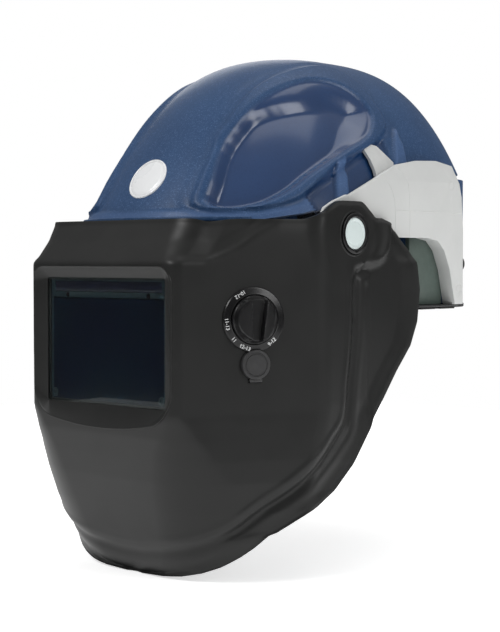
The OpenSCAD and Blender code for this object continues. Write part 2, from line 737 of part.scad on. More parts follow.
// Face of the cheek at the dial: a frame with +Z out of the face and +X towards the rear
function cheek_at(along, z) = let (q = plan_at(z), p = plan_point(q, flat_len(q) + corner_len(q) + along)) [p[0], p[1], z];
dial_at = cheek_at(49, -32);
grind_at = cheek_at(50, -61.5);
module on_cheek(p) {
    translate(p) multmatrix([
        [cos(wall_angle), 0, sin(wall_angle), 0],
        [sin(wall_angle), 0, -cos(wall_angle), 0],
        [0, 1, 0, 0],
        [0, 0, 0, 1]
    ]) children();
}

bezel_out = [67, lens_low - 7, lens_top + 7];
module bezel_outline() {
    bulge = 8;
    polygon(concat(
        [[-bezel_out[0] + 10, bezel_out[2]], [-bezel_out[0], bezel_out[2] - 8], [-bezel_out[0], bezel_out[1] + 8]],
        [for (i = [0:12]) let (t = -1 + i / 6) [t * (bezel_out[0] - 9), bezel_out[1] - bulge * (1 - t * t)]],
        [[bezel_out[0], bezel_out[1] + 8], [bezel_out[0], bezel_out[2] - 8], [bezel_out[0] - 10, bezel_out[2]]]
    ));
}

module weld_shield() {
    color([0.045, 0.045, 0.05]) difference() {
        union() {
            shell_from_grids(shield_grid(0), shield_grid(shield_wall));
            pivot_bar(shield_half - 2, shield_half + 2.5, boss_r);
            other_side() pivot_bar(shield_half - 2, shield_half + 2.5, boss_r);
        }
        front_plate(-140, -100) bezel_outline();
        pivot_bar(-130, 130, hub_r + fit);
        on_cheek(dial_at) translate([0, 0, -10]) cylinder(h = 20, r = 7, $fn = 48);
        on_cheek(grind_at) translate([0, 0, -10]) cylinder(h = 20, r = grind_r + fit, $fn = 48);
    }
}

module lens_bezel() {
    color([0.06, 0.06, 0.065]) difference() {
        front_plate(-shield_front - 0.6, -109.5) bezel_outline();
        front_plate(-140, lens_y - 0.05) square_at(lens_w / 2, lens_low, lens_top);
        front_plate(lens_y - 0.05, -100) square_at(lens_w / 2 + 2.5, lens_low - 2.5, lens_top + 2.5);
    }
}

// A rectangle centred across the face
module square_at(half, low, top) {
    polygon([[-half, low], [half, low], [half, top], [-half, top]]);
}

module lens_layer(y0, y1, grow) {
    front_plate(y0, y1) square_at(lens_w / 2 + grow, lens_low - grow, lens_top + grow);
}

module cover_lens() {
    color([0.5, 0.6, 0.6, 0.3]) lens_layer(lens_y, lens_y + 1, 2.3);
}

module lens_seal() {
    color([0.08, 0.08, 0.08]) difference() {
        lens_layer(lens_y + 1.05, lens_y + 2, 2.3);
        lens_layer(lens_y, lens_y + 3, -1.5);
    }
}

case_front = lens_y + 2.05;
case_rear = -110.4;

module dark_lens_case() {
    color([0.05, 0.06, 0.07]) difference() {
        lens_layer(case_front, case_rear, 2.2);
        front_plate(case_front - 1, case_front + 3) square_at(56.05, lens_low + 0.95, lens_top - 13.5);
        front_plate(case_front - 1, case_rear + 1) square_at(50, lens_low + 6, lens_top - 18);
        front_plate(case_front - 1, case_front + 1.5) square_at(54.05, lens_top - 10.05, lens_top - 2.45);
        for (m = [-1, 1]) translate([m * 41, case_front - 1, lens_top - 12]) rotate([-90, 0, 0]) cylinder(h = 3, r = 2.05, $fn = 32);
    }
}

module lcd_panel() {
    color([0.02, 0.03, 0.06]) front_plate(case_front + 0.05, case_front + 2.9) square_at(56, lens_low + 1, lens_top - 14.2);
}

module solar_cell() {
    color([0.03, 0.04, 0.08]) front_plate(case_front + 0.1, case_front + 1.4) square_at(54, lens_top - 9.6, lens_top - 2.5);
}

module light_sensors() {
    color([0.1, 0.02, 0.03]) for (m = [-1, 1]) translate([m * 41, case_front + 0.2, lens_top - 12]) rotate([-90, 0, 0]) cylinder(h = 1.7, r = 1.5, $fn = 32);
}

module rear_lens() {
    color([0.6, 0.7, 0.7, 0.3]) lens_layer(case_rear + 0.05, case_rear + 0.85, 1.5);
}

module lens_clip() {
    color([0.1, 0.1, 0.11]) difference() {
        front_plate(-109.45, -107.8) cut_rect([-66, lens_low - 6], [66, lens_top + 6], 4);
        front_plate(-110, -107) square_at(lens_w / 2 - 8, lens_low + 8, lens_top - 8);
    }
}

// ---- controls on the cheek ------------------------------------------------

grind_local = [1, -29.5, 0];

module dial_ring() {
    color([0.06, 0.06, 0.065]) on_cheek(dial_at) difference() {
        translate([0, 0, 0.05]) cylinder(h = 2.2, r = dial_r, $fn = 96);
        translate([0, 0, 1.4]) cylinder(h = 2, r = 16.5, $fn = 64);
        translate([0, 0, -1]) cylinder(h = 4, r = 4.5, $fn = 48);
        translate(grind_local) translate([0, 0, -1]) cylinder(h = 6, r = grind_r + 0.3, $fn = 64);
    }
}

module shade_knob() {
    color([0.05, 0.05, 0.055]) on_cheek(dial_at) {
        translate([0, 0, 1.6]) cylinder(h = 4.8, r = 16, $fn = 64);
        translate([0, 0, 6.3]) linear_extrude(9) polygon([
            [-6.5, -12], [-3, -14], [3, -14], [6.5, -12], [8.5, 11], [5, 13.6], [-5, 13.6], [-8.5, 11]
        ]);
        translate([0, 0, -13]) cylinder(h = 16, r = 3, $fn = 32);
    }
}

module grind_button() {
    color([0.07, 0.07, 0.075]) on_cheek(grind_at) {
        difference() {
            translate([0, 0, -3.5]) cylinder(h = 6.5, r = grind_r, $fn = 64);
            translate([0, 0, 2.5]) difference() {
                cylinder(h = 1, r = grind_r - 2, $fn = 64);
                translate([0, 0, -1]) cylinder(h = 3, r = grind_r - 3.2, $fn = 64);
            }
        }
    }
}

// Housing for the shade control's electronics, behind the cheek
module control_box() {
    color([0.09, 0.09, 0.1]) on_cheek(dial_at) difference() {
        block([-22, -43, -13.5], [20, 22, -3.1]);
        block([-20, -41, -11.5], [18, 20, -5]);
        translate([0, 0, -20]) cylinder(h = 20, r = 3 + fit, $fn = 32);
        translate([1, -29.5, -7]) cylinder(h = 10, r = grind_r + 1, $fn = 48);
    }
}

// Flat lead from the control box to the dark lens
module lens_cable() {
    route = [[70.5, -97.5], [70, -101], [68.5, -104], [66.5, -105.8], [62, -106.6], [56, -106.9]];
    color([0.12, 0.12, 0.13]) ribbon([for (p = route) [p[0], p[1], -60]], 1.2, 10);
}

helmet_shell();
brow_trim();
badge();
side_cover_left();
side_cover_right();
cover_screws();
inner_wall();
base_tray();
feet();
rear_housing();
filter_door();
door_latch();
filter_pack();
filter_seal();
blower_case();
impeller();
blower_motor();
battery_pack();
control_board();
power_button();
charge_socket();
air_duct();
air_diffuser();
headband();
sweatband();
nape_band();
nape_pad();
ratchet_case();
ratchet_knob();
crown_strap_front();
crown_strap_rear();
crown_pad();
band_hangers();
visor();
visor_frame();
face_seal();
hub_left();
hub_right();
washer_left();
washer_right();
release_left();
release_right();
spring_left();
spring_right();
weld_shield();
lens_bezel();
cover_lens();
lens_seal();
dark_lens_case();
lcd_panel();
solar_cell();
light_sensors();
rear_lens();
lens_clip();
dial_ring();
shade_knob();
grind_button();
control_box();
lens_cable();
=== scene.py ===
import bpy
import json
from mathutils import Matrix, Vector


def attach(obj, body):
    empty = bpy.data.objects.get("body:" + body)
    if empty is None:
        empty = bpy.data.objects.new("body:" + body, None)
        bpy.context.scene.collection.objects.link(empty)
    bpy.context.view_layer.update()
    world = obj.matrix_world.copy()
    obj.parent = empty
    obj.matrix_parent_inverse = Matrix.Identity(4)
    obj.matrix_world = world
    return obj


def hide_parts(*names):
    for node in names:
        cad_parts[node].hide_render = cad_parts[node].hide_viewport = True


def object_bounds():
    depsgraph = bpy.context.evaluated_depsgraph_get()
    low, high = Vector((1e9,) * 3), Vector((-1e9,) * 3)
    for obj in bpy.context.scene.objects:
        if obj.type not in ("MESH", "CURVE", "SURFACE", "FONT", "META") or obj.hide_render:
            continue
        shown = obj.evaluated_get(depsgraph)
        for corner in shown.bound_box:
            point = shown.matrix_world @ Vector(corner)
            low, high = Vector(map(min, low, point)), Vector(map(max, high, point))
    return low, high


bl_info = {
    "name": "Powered air respirator",
    "version": (1, 0, 0),
    "blender": (4, 5, 0),
    "location": "3D View > Sidebar > Respirator",
    "description": "Finishes a respirator helmet with a flip-up welding shield around its CAD frame",
    "category": "Object",
}

import json
import math

import bmesh
import bpy
import numpy as np
from mathutils import Matrix, Vector

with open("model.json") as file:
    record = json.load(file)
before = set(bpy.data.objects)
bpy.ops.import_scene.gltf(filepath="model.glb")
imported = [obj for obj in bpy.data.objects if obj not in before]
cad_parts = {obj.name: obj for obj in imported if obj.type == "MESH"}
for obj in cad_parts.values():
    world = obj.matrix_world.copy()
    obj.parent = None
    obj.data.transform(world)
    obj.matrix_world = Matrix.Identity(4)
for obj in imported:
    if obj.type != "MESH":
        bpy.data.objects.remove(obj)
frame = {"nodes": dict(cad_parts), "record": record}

MM = 0.001
NODES = frame["nodes"]
SLOT_OF = {row["node"]: row["material_slot"] for row in frame["record"]["subparts"]}
BODY_OF = {node: body for body, nodes in frame["record"]["behaviour"]["bodies"].items() for node in nodes}
CAD_BOX = [[float(c) for c in corner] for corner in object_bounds()]
FLOOR_Z = CAD_BOX[0][2] - 0.0005


# ---- numbers and curves ----------------------------------------------------

def smooth(t):
    """Soft step from 0 to 1 as t goes from 0 to 1."""
    t = np.clip(t, 0.0, 1.0)
    return t * t * (3 - 2 * t)


def lookup(x, table):
    """Value at x of a table of (place, value) pairs, straight between them."""
    table = sorted(table)
    return np.interp(x, [place for place, value in table], [value for place, value in table])


def outline_distance(py, pz, outline):
    """Signed distance to a closed outline, positive inside."""
    best = np.full(py.shape, 1e9)
    inside = np.zeros(py.shape, bool)
    for (ay, az), (by, bz) in zip(outline, outline[1:] + outline[:1]):
        dy, dz = by - ay, bz - az
        t = np.clip(((py - ay) * dy + (pz - az) * dz) / (dy * dy + dz * dz), 0, 1)
        best = np.minimum(best, np.hypot(py - ay - t * dy, pz - az - t * dz))
        crosses = (az > pz) != (bz > pz)
        with np.errstate(divide="ignore", invalid="ignore"):
            left = py < ay + (by - ay) * (pz - az) / (bz - az if bz != az else 1e-9)
        inside ^= crosses & left
    return np.where(inside, best, -best)


def rounded(points, closed=True, steps=8):
    """Catmull-Rom curve through points."""
    n = len(points)
    out = []
    spans = n if closed else n - 1
    for i in range(spans):
        around = [(i + k) % n if closed else min(max(i + k, 0), n - 1) for k in (-1, 0, 1, 2)]
        p = [np.array(points[k], float) for k in around]
        for j in range(steps):
            t = j / steps
            q = 0.5 * (2 * p[1] + (p[2] - p[0]) * t + (2 * p[0] - 5 * p[1] + 4 * p[2] - p[3]) * t * t
                       + (3 * p[1] - p[0] - 3 * p[2] + p[3]) * t ** 3)
            out.append(tuple(q))
    if not closed:
        out.append(tuple(points[-1]))
    return out


# ---- meshes -----------------------------------------------------------------

def grid_quads(rows, cols, start=0, wrap=False, flip=False):
    """Faces of a grid of points kept row by row, closed round its columns if wrap is set."""
    i, j = np.meshgrid(np.arange(rows - 1), np.arange(cols if wrap else cols - 1), indexing="ij")
    a = start + i * cols + j
    b = start + i * cols + (j + 1) % cols
    quads = np.stack([a, b, b + cols, a + cols], -1).reshape(-1, 4)
    return quads[:, ::-1] if flip else quads


def tube_faces(rows, cols):
    """Faces of a closed tube: rows rings of cols points, with both ends capped."""
    ends = [list(range(cols)), list(range((rows - 1) * cols, rows * cols))]
    return grid_quads(rows, cols, wrap=True).tolist() + ends


def new_object(name, data):
    made = bpy.data.objects.new(name, data)
    bpy.context.scene.collection.objects.link(made)
    return made


def make_piece(name, points, faces, material, sharp=35, outward=False):
    """A mesh object from millimetre points."""
    mesh = bpy.data.meshes.new(name)
    mesh.from_pydata((np.asarray(points, float) * MM).tolist(), [], [[int(k) for k in f] for f in faces])
    mesh.validate()
    piece = new_object(name, mesh)
    if outward:
        tidy_normals(mesh)
    shade(piece, sharp)
    if material:
        mesh.materials.append(material)
    return piece


def tidy_normals(mesh, merge=True):
    """Turns the faces outwards, after merging points that are a micrometre apart."""
    bm = bmesh.new()
    bm.from_mesh(mesh)
    if merge:
        bmesh.ops.remove_doubles(bm, verts=bm.verts, dist=1e-6)
    bmesh.ops.recalc_face_normals(bm, faces=bm.faces)
    bm.to_mesh(mesh)
    bm.free()


def shade(piece, sharp=35):
    """Smooth shading, with edges sharper than the given angle kept crisp."""
    mesh = piece.data
    mesh.polygons.foreach_set("use_smooth", [True] * len(mesh.polygons))
    mesh.set_sharp_from_angle(angle=math.radians(sharp))
    mesh.update()


def apply_modifiers(piece):
    """Turns a piece's live modifiers into plain mesh."""
    graph = bpy.context.evaluated_depsgraph_get()
    mesh = bpy.data.meshes.new_from_object(piece.evaluated_get(graph), depsgraph=graph)
    old = piece.data
    piece.modifiers.clear()
    piece.data = mesh
    bpy.data.meshes.remove(old)
    return piece


def join_pieces(name, pieces):
    """One mesh object from several, in place."""
    bm = bmesh.new()
    materials = []
    for piece in pieces:
        first = len(bm.faces)
        bm.from_mesh(piece.data)
        bm.faces.ensure_lookup_table()
        slots = []
        for material in piece.data.materials:
            if material not in materials:
                materials.append(material)
            slots.append(materials.index(material))
        for face in bm.faces[first:]:
            face.material_index = slots[face.material_index] if slots else 0
    mesh = bpy.data.meshes.new(name)
    bm.to_mesh(mesh)
    bm.free()
    for material in materials:
        mesh.materials.append(material)
    for piece in pieces:
        bpy.data.objects.remove(piece)
    return new_object(name, mesh)


def cut(piece, cutter):
    """Takes one closed piece out of another; the cutter is used up."""
    modifier = piece.modifiers.new("cut", "BOOLEAN")
    modifier.operation = "DIFFERENCE"
    modifier.solver = "MANIFOLD"
    modifier.object = cutter
    apply_modifiers(piece)
    bpy.data.objects.remove(cutter)
    return piece


def bevelled(piece, width, segments=3, angle=30):
    """Rounds the edges that are sharper than angle."""
    modifier = piece.modifiers.new("edge", "BEVEL")
    modifier.width = width * MM
    modifier.segments = segments
    modifier.limit_method = "ANGLE"
    modifier.angle_limit = math.radians(angle)
    modifier.harden_normals = False
    apply_modifiers(piece)
    shade(piece, 40)
    return piece


def prism(name, outline, low, high, frame_matrix=None, material=None, bevel=0):
    """A straight prism from an outline in millimetres, along its own +Z."""
    n = len(outline)
    points = [(x, y, low) for x, y in outline] + [(x, y, high) for x, y in outline]
    faces = [list(range(n))[::-1], list(range(n, 2 * n))]
    faces += [[i, (i + 1) % n, n + (i + 1) % n, n + i] for i in range(n)]
    if frame_matrix is not None:
        points = [tuple(frame_matrix @ Vector(p)) for p in points]
    piece = make_piece(name, points, faces, material, outward=True)
    return bevelled(piece, bevel) if bevel else piece


def turned(name, profile, frame_matrix, material, steps=72, sharp=35):
    """A lathe shape: profile of (radius, height) from axis to axis, turned about the frame's +Z."""
    rings = []
    for k in range(steps):
        a = 2 * math.pi * k / steps
        rings.append([(r * math.cos(a), r * math.sin(a), h) for r, h in profile])
    rows = len(profile)
    points = [tuple(frame_matrix @ Vector(rings[k][i])) for i in range(rows) for k in range(steps)]
    faces = grid_quads(rows, steps, wrap=True).tolist()
    if profile[0] == profile[-1]:
        points = points[:-steps]
        faces = [[v % ((rows - 1) * steps) for v in f] for f in faces]
    return make_piece(name, points, faces, material, sharp=sharp, outward=True)


def circle(radius, at=(0, 0)):
    angles = [2 * math.pi * k / 64 for k in range(64)]
    return [(at[0] + radius * math.cos(a), at[1] + radius * math.sin(a)) for a in angles]


def front_frame(x=0, y=0, z=0):
    """Frame in the front view: +Z out of the face, +X across, +Y up."""
    return Matrix(((1, 0, 0, x), (0, 0, -1, y), (0, 1, 0, z), (0, 0, 0, 1)))


def side_frame(side, y=0, z=0):
    """Frame in the side view: +Z outwards on the given side, +X towards the rear on the left, +Y up."""
    return Matrix(((0, 0, side, 0), (side, 0, 0, y), (0, 1, 0, z), (0, 0, 0, 1)))


def from_node(node, name=None, simplify=True):
    """A merged copy of a CAD node's mesh, ready to be refined."""
    mesh = NODES[node].data.copy()
    piece = new_object(name or node + "_fine", mesh)
    bm = bmesh.new()
    bm.from_mesh(mesh)
    bmesh.ops.remove_doubles(bm, verts=bm.verts, dist=2e-6)
    if simplify:
        bmesh.ops.dissolve_limit(bm, angle_limit=math.radians(2), verts=bm.verts, edges=bm.edges)
    bm.to_mesh(mesh)
    bm.free()
    mesh.materials.clear()
    return piece


def settle(piece, body, slot, *nodes):
    """Hands a finished piece to the frame."""
    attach(piece, body)
    if nodes:
        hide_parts(*nodes)
    return piece


def refine(node, width, angle=40, simplify=True):
    """A CAD node with its moulded edges rounded, standing in for the node."""
    piece = from_node(node, simplify=simplify)
    piece.data.materials.append(finish_of(SLOT_OF[node]))
    bevelled(piece, width, 2, angle)
    return settle(piece, BODY_OF[node], SLOT_OF[node], node)


# ---- repeats ------------------------------------------------------------------

def repeat_tree():
    """Node tree that sets copies of an item along a path."""
    tree = bpy.data.node_groups.get("repeat along path")
    if tree:
        return tree
    tree = bpy.data.node_groups.new("repeat along path", "GeometryNodeTree")
    for label, kind in (("Geometry", "Geometry"), ("Count", "Int"), ("Item", "Object"), ("Up", "Vector"),
                        ("Material", "Material")):
        tree.interface.new_socket(label, in_out="INPUT", socket_type="NodeSocket" + kind)
    tree.interface.new_socket("Geometry", in_out="OUTPUT", socket_type="NodeSocketGeometry")
    add, link = tree.nodes.new, tree.links.new
    inside = add("NodeGroupInput")
    curve = add("GeometryNodeMeshToCurve")
    link(inside.outputs["Geometry"], curve.inputs["Mesh"])
    sample = add("GeometryNodeResampleCurve")
    link(curve.outputs["Curve"], sample.inputs["Curve"])
    link(inside.outputs["Count"], sample.inputs["Count"])
    tangent = add("GeometryNodeInputTangent")
    along = add("FunctionNodeAlignEulerToVector")
    along.axis = "X"
    link(tangent.outputs["Tangent"], along.inputs["Vector"])
    upright = add("FunctionNodeAlignEulerToVector")
    upright.axis = "Z"
    upright.pivot_axis = "X"
    link(along.outputs["Rotation"], upright.inputs["Rotation"])
    link(inside.outputs["Up"], upright.inputs["Vector"])
    info = add("GeometryNodeObjectInfo")
    link(inside.outputs["Item"], info.inputs["Object"])
    place = add("GeometryNodeInstanceOnPoints")
    link(sample.outputs["Curve"], place.inputs["Points"])
    link(info.outputs["Geometry"], place.inputs["Instance"])
    link(upright.outputs["Rotation"], place.inputs["Rotation"])
    real = add("GeometryNodeRealizeInstances")
    link(place.outputs["Instances"], real.inputs["Geometry"])
    paint = add("GeometryNodeSetMaterial")
    link(real.outputs["Geometry"], paint.inputs["Geometry"])
    link(inside.outputs["Material"], paint.inputs["Material"])
    outside = add("NodeGroupOutput")
    link(paint.outputs["Geometry"], outside.inputs["Geometry"])
    return tree


def repeated(name, path, item, count, material, up=(0, 0, 1), closed=False):
    """Copies of a small item along a path of millimetre points, as one plain mesh."""
    n = len(path)
    mesh = bpy.data.meshes.new(name)
    edges = [(i, i + 1) for i in range(n - 1)] + ([(n - 1, 0)] if closed else [])
    mesh.from_pydata([tuple(c * MM for c in p) for p in path], edges, [])
    piece = new_object(name, mesh)
    modifier = piece.modifiers.new("repeat", "NODES")
    modifier.node_group = tree = repeat_tree()
    values = {"Count": count, "Item": item, "Up": up, "Material": material}
    for socket in tree.interface.items_tree:
        if socket.in_out == "INPUT" and socket.name in values:
            modifier[socket.identifier] = values[socket.name]
    apply_modifiers(piece)
    bpy.data.objects.remove(item)
    shade(piece, 40)
    return piece


def stitch_item(length, thick):
    """One raised stitch, lying along X."""
    angles = [k * math.pi / 3 for k in range(6)]
    points = []
    for x, share in ((-0.5, 0.3), (-0.3, 0.85), (0, 1), (0.3, 0.85), (0.5, 0.3)):
        r = thick / 2 * share
        points += [(x * length, r * math.cos(a), r * math.sin(a)) for a in angles]
    return make_piece("stitch", points, tube_faces(5, 6), None, outward=True)


# ---- shader groups --------------------------------------------------------------

def shader_group(name, inputs, outputs, build):
    """A shader node group made once, with named float or colour sockets."""
    tree = bpy.data.node_groups.get(name)
    if tree:
        return tree
    tree = bpy.data.node_groups.new(name, "ShaderNodeTree")
    for label, kind, default in inputs:
        socket = tree.interface.new_socket(label, in_out="INPUT", socket_type=kind)
        if default is not None:
            socket.default_value = default
    for label, kind in outputs:
        tree.interface.new_socket(label, in_out="OUTPUT", socket_type=kind)
    build(tree, tree.nodes.new("NodeGroupInput").outputs, tree.nodes.new("NodeGroupOutput").inputs)
    return tree


def math_node(tree, operation, a, b=None, clamp=False):
    node = tree.nodes.new("ShaderNodeMath")
    node.operation = operation
    node.use_clamp = clamp
    for socket, value in zip(node.inputs, (a, b)):
        if value is None:
            continue
        if isinstance(value, (int, float)):
            socket.default_value = value
        else:
            tree.links.new(value, socket)
    return node.outputs[0]


def times(tree, a, b, clamp=False):
    return math_node(tree, "MULTIPLY", a, b, clamp)


def plus(tree, a, b, clamp=False):
    return math_node(tree, "ADD", a, b, clamp)


def ramp(tree, value, low, high):
    """0 to 1 as value goes from low to high."""
    node = tree.nodes.new("ShaderNodeMapRange")
    tree.links.new(value, node.inputs["Value"])
    node.inputs["From Min"].default_value = low
    node.inputs["From Max"].default_value = high
    return node.outputs["Result"]


def noise(tree, scale, detail=4, rough=0.55, vector=None):
    """Noise on the piece's own coordinates unless a vector is given."""
    node = tree.nodes.new("ShaderNodeTexNoise")
    node.inputs["Scale"].default_value = scale
    node.inputs["Detail"].default_value = detail
    node.inputs["Roughness"].default_value = rough
    if vector is None:
        vector = tree.nodes.new("ShaderNodeTexCoord").outputs["Object"]
    tree.links.new(vector, node.inputs["Vector"])
    return node.outputs["Fac"]


def mix_colour(tree, factor, a, b):
    """Colour between a and b, each a plain colour or a socket."""
    node = tree.nodes.new("ShaderNodeMix")
    node.data_type = "RGBA"
    for socket, value in ((node.inputs[0], factor), (node.inputs[6], a), (node.inputs[7], b)):
        if isinstance(value, (int, float)):
            socket.default_value = value
        elif isinstance(value, tuple):
            socket.default_value = (*value, 1.0)[:4]
        else:
            tree.links.new(value, socket)
    return node.outputs[2]


FLOAT = "NodeSocketFloat"


def mould_grain():
    """Fine spark-eroded texture of a mould, with slow cloudiness."""
    def build(tree, given, out):
        coordinate = tree.nodes.new("ShaderNodeTexCoord").outputs["Object"]
        node = tree.nodes.new("ShaderNodeTexVoronoi")
        tree.links.new(coordinate, node.inputs["Vector"])
        tree.links.new(given["Scale"], node.inputs["Scale"])
        fine = noise(tree, 2600, 2, vector=coordinate)
        height = plus(tree, times(tree, node.outputs["Distance"], 0.6), times(tree, fine, 0.4))
        tree.links.new(times(tree, height, given["Depth"]), out["Height"])
        tree.links.new(ramp(tree, noise(tree, 28, 5, vector=coordinate), 0.35, 0.68), out["Cloud"])
    return shader_group("mould grain", [("Scale", FLOAT, 1500.0), ("Depth", FLOAT, 0.3)],
                        [("Height", FLOAT), ("Cloud", FLOAT)], build)


def rubbed_edges():
    """Mask of convex edges, broken up, where handling has polished or paled the surface."""
    def build(tree, given, out):
        point = tree.nodes.new("ShaderNodeNewGeometry").outputs["Pointiness"]
        edge = ramp(tree, point, 0.515, 0.60)
        broken = times(tree, edge, ramp(tree, noise(tree, 210, 6), 0.38, 0.66))
        tree.links.new(times(tree, broken, given["Amount"], clamp=True), out["Mask"])
    return shader_group("rubbed edges", [("Amount", FLOAT, 0.5)], [("Mask", FLOAT)], build)


def settled_dust():
    """Mask of faces that look up, clouded, for a trace of dust."""
    def build(tree, given, out):
        split = tree.nodes.new("ShaderNodeSeparateXYZ")
        tree.links.new(tree.nodes.new("ShaderNodeNewGeometry").outputs["Normal"], split.inputs[0])
        up = ramp(tree, split.outputs["Z"], 0.1, 1.0)
        cloud = ramp(tree, noise(tree, 60, 8, 0.65), 0.4, 0.75)
        tree.links.new(times(tree, times(tree, up, cloud), given["Amount"], clamp=True), out["Mask"])
    return shader_group("settled dust", [("Amount", FLOAT, 0.1)], [("Mask", FLOAT)], build)


def pearl_flakes():
    """Mask of tiny bright flakes in a metallic moulding."""
    def build(tree, given, out):
        coordinate = tree.nodes.new("ShaderNodeTexCoord").outputs["Object"]
        total = None
        for scale, low in ((1500, 0.86), (2900, 0.8)):
            cell = tree.nodes.new("ShaderNodeTexVoronoi")
            cell.inputs["Scale"].default_value = scale
            tree.links.new(coordinate, cell.inputs["Vector"])
            pick = tree.nodes.new("ShaderNodeSeparateColor")
            tree.links.new(cell.outputs["Color"], pick.inputs[0])
            flake = ramp(tree, pick.outputs[0], low, 1.0)
            total = flake if total is None else plus(tree, total, flake)
        tree.links.new(times(tree, total, given["Amount"], clamp=True), out["Mask"])
    return shader_group("pearl flakes", [("Amount", FLOAT, 0.5)], [("Mask", FLOAT)], build)


def plain_weave():
    """Over-and-under cloth pattern on the piece's own coordinates."""
    def build(tree, given, out):
        split = tree.nodes.new("ShaderNodeSeparateXYZ")
        tree.links.new(tree.nodes.new("ShaderNodeTexCoord").outputs["UV"], split.inputs[0])
        u = times(tree, split.outputs["X"], given["Threads"])
        v = times(tree, split.outputs["Y"], given["Threads"])
        wave_u = math_node(tree, "SINE", times(tree, u, math.pi))
        wave_v = math_node(tree, "SINE", times(tree, v, math.pi))
        height = math_node(tree, "ABSOLUTE", plus(tree, times(tree, wave_u, wave_v), 0.15))
        tree.links.new(height, out["Height"])
        tree.links.new(ramp(tree, noise(tree, 140, 5), 0.3, 0.7), out["Cloud"])
    return shader_group("plain weave", [("Threads", FLOAT, 900.0)],
                        [("Height", FLOAT), ("Cloud", FLOAT)], build)


# ---- finishes ---------------------------------------------------------------------

def new_finish(name):
    """A new material with its node tree and its main shader's inputs."""
    material = bpy.data.materials.new(name)
    material.use_nodes = True
    tree = material.node_tree
    return material, tree, tree.nodes["Principled BSDF"].inputs


def use_group(tree, group, **values):
    """A shader group placed in a material, with its inputs set."""
    node = tree.nodes.new("ShaderNodeGroup")
    node.node_tree = group
    for key, value in values.items():
        node.inputs[key].default_value = value
    return node.outputs


def add_bump(tree, height, strength, distance=0.0003):
    node = tree.nodes.new("ShaderNodeBump")
    node.inputs["Strength"].default_value = strength
    node.inputs["Distance"].default_value = distance
    tree.links.new(height, node.inputs["Height"])
    tree.links.new(node.outputs["Normal"], tree.nodes["Principled BSDF"].inputs["Normal"])


def moulded(name, colour, rough, grain=0.25, scale=1500.0, wear=0.35, dust=0.06, pale=None, cloud=0.12,
            coat=0.0, specular=0.5):
    """Moulded plastic or rubber: base colour, cloudy tone, grain, rubbed edges and a trace of dust."""
    material, tree, shader = new_finish(name)
    pale = pale or tuple(min(1, c * 1.8 + 0.02) for c in colour)
    texture = use_group(tree, mould_grain(), Scale=scale, Depth=grain)
    edges = use_group(tree, rubbed_edges(), Amount=wear)
    dusty = use_group(tree, settled_dust(), Amount=dust)
    deeper, lighter = (tuple(min(1, c * (1 + change)) for c in colour) for change in (-cloud, cloud))
    base = mix_colour(tree, texture["Cloud"], deeper, lighter)
    base = mix_colour(tree, edges["Mask"], base, pale)
    base = mix_colour(tree, dusty["Mask"], base, (0.55, 0.54, 0.52))
    tree.links.new(base, shader["Base Color"])
    patchy = plus(tree, times(tree, texture["Cloud"], 0.07), rough - 0.035)
    patchy = math_node(tree, "SUBTRACT", patchy, times(tree, edges["Mask"], 0.1))
    patchy = plus(tree, patchy, times(tree, dusty["Mask"], 0.3), clamp=True)
    tree.links.new(patchy, shader["Roughness"])
    shader["Specular IOR Level"].default_value = specular
    shader["Coat Weight"].default_value = coat
    shader["Coat Roughness"].default_value = 0.12
    add_bump(tree, texture["Height"], 0.35, 0.0001)
    return material


def blue_pearl(name):
    """Deep blue pearl moulding: satin skin with flakes, glossy inside the side dishes, and a painted
    highlight of paler blue on the dome's lower band, ribs and horn.
    """
    material, tree, shader = new_finish(name)
    texture = use_group(tree, mould_grain(), Scale=1300.0, Depth=0.5)
    flakes = use_group(tree, pearl_flakes(), Amount=0.5)
    edges = use_group(tree, rubbed_edges(), Amount=0.25)
    gloss = tree.nodes.new("ShaderNodeAttribute")
    gloss.attribute_name = "polish"
    polish = gloss.outputs["Fac"]
    # Painted highlight: this attribute lays a paler blue on the dome's lower band, ribs and horn.
    pale = tree.nodes.new("ShaderNodeAttribute")
    pale.attribute_name = "painted_highlight"
    skin = mix_colour(tree, texture["Cloud"], (0.014, 0.052, 0.138), (0.018, 0.062, 0.160))
    skin = mix_colour(tree, times(tree, pale.outputs["Fac"], 0.45), skin, (0.09, 0.17, 0.36))
    skin = mix_colour(tree, times(tree, flakes["Mask"], 0.55), skin, (0.17, 0.27, 0.5))
    deep = mix_colour(tree, texture["Cloud"], (0.008, 0.036, 0.118), (0.010, 0.043, 0.135))
    base = mix_colour(tree, polish, skin, deep)
    base = mix_colour(tree, edges["Mask"], base, (0.2, 0.3, 0.5))
    tree.links.new(base, shader["Base Color"])
    tree.links.new(math_node(tree, "SUBTRACT", 0.46, times(tree, polish, 0.22)), shader["Roughness"])
    tree.links.new(times(tree, flakes["Mask"], 0.35), shader["Metallic"])
    tree.links.new(plus(tree, times(tree, polish, 0.5), 0.05), shader["Coat Weight"])
    shader["Coat Roughness"].default_value = 0.14
    shader["Specular IOR Level"].default_value = 0.3
    height = times(tree, texture["Height"], math_node(tree, "SUBTRACT", 1.0, polish))
    add_bump(tree, height, 0.3, 0.00012)
    return material


def clear_sheet(name, tint, rough=0.03, dust=0.1):
    """Clear plastic sheet with a trace of haze."""
    material, tree, shader = new_finish(name)
    shader["Transmission Weight"].default_value = 1.0
    shader["IOR"].default_value = 1.18
    haze = use_group(tree, settled_dust(), Amount=dust)
    tree.links.new(mix_colour(tree, haze["Mask"], tint, (0.8, 0.82, 0.82)), shader["Base Color"])
    tree.links.new(plus(tree, times(tree, haze["Mask"], 0.1), rough), shader["Roughness"])
    return material


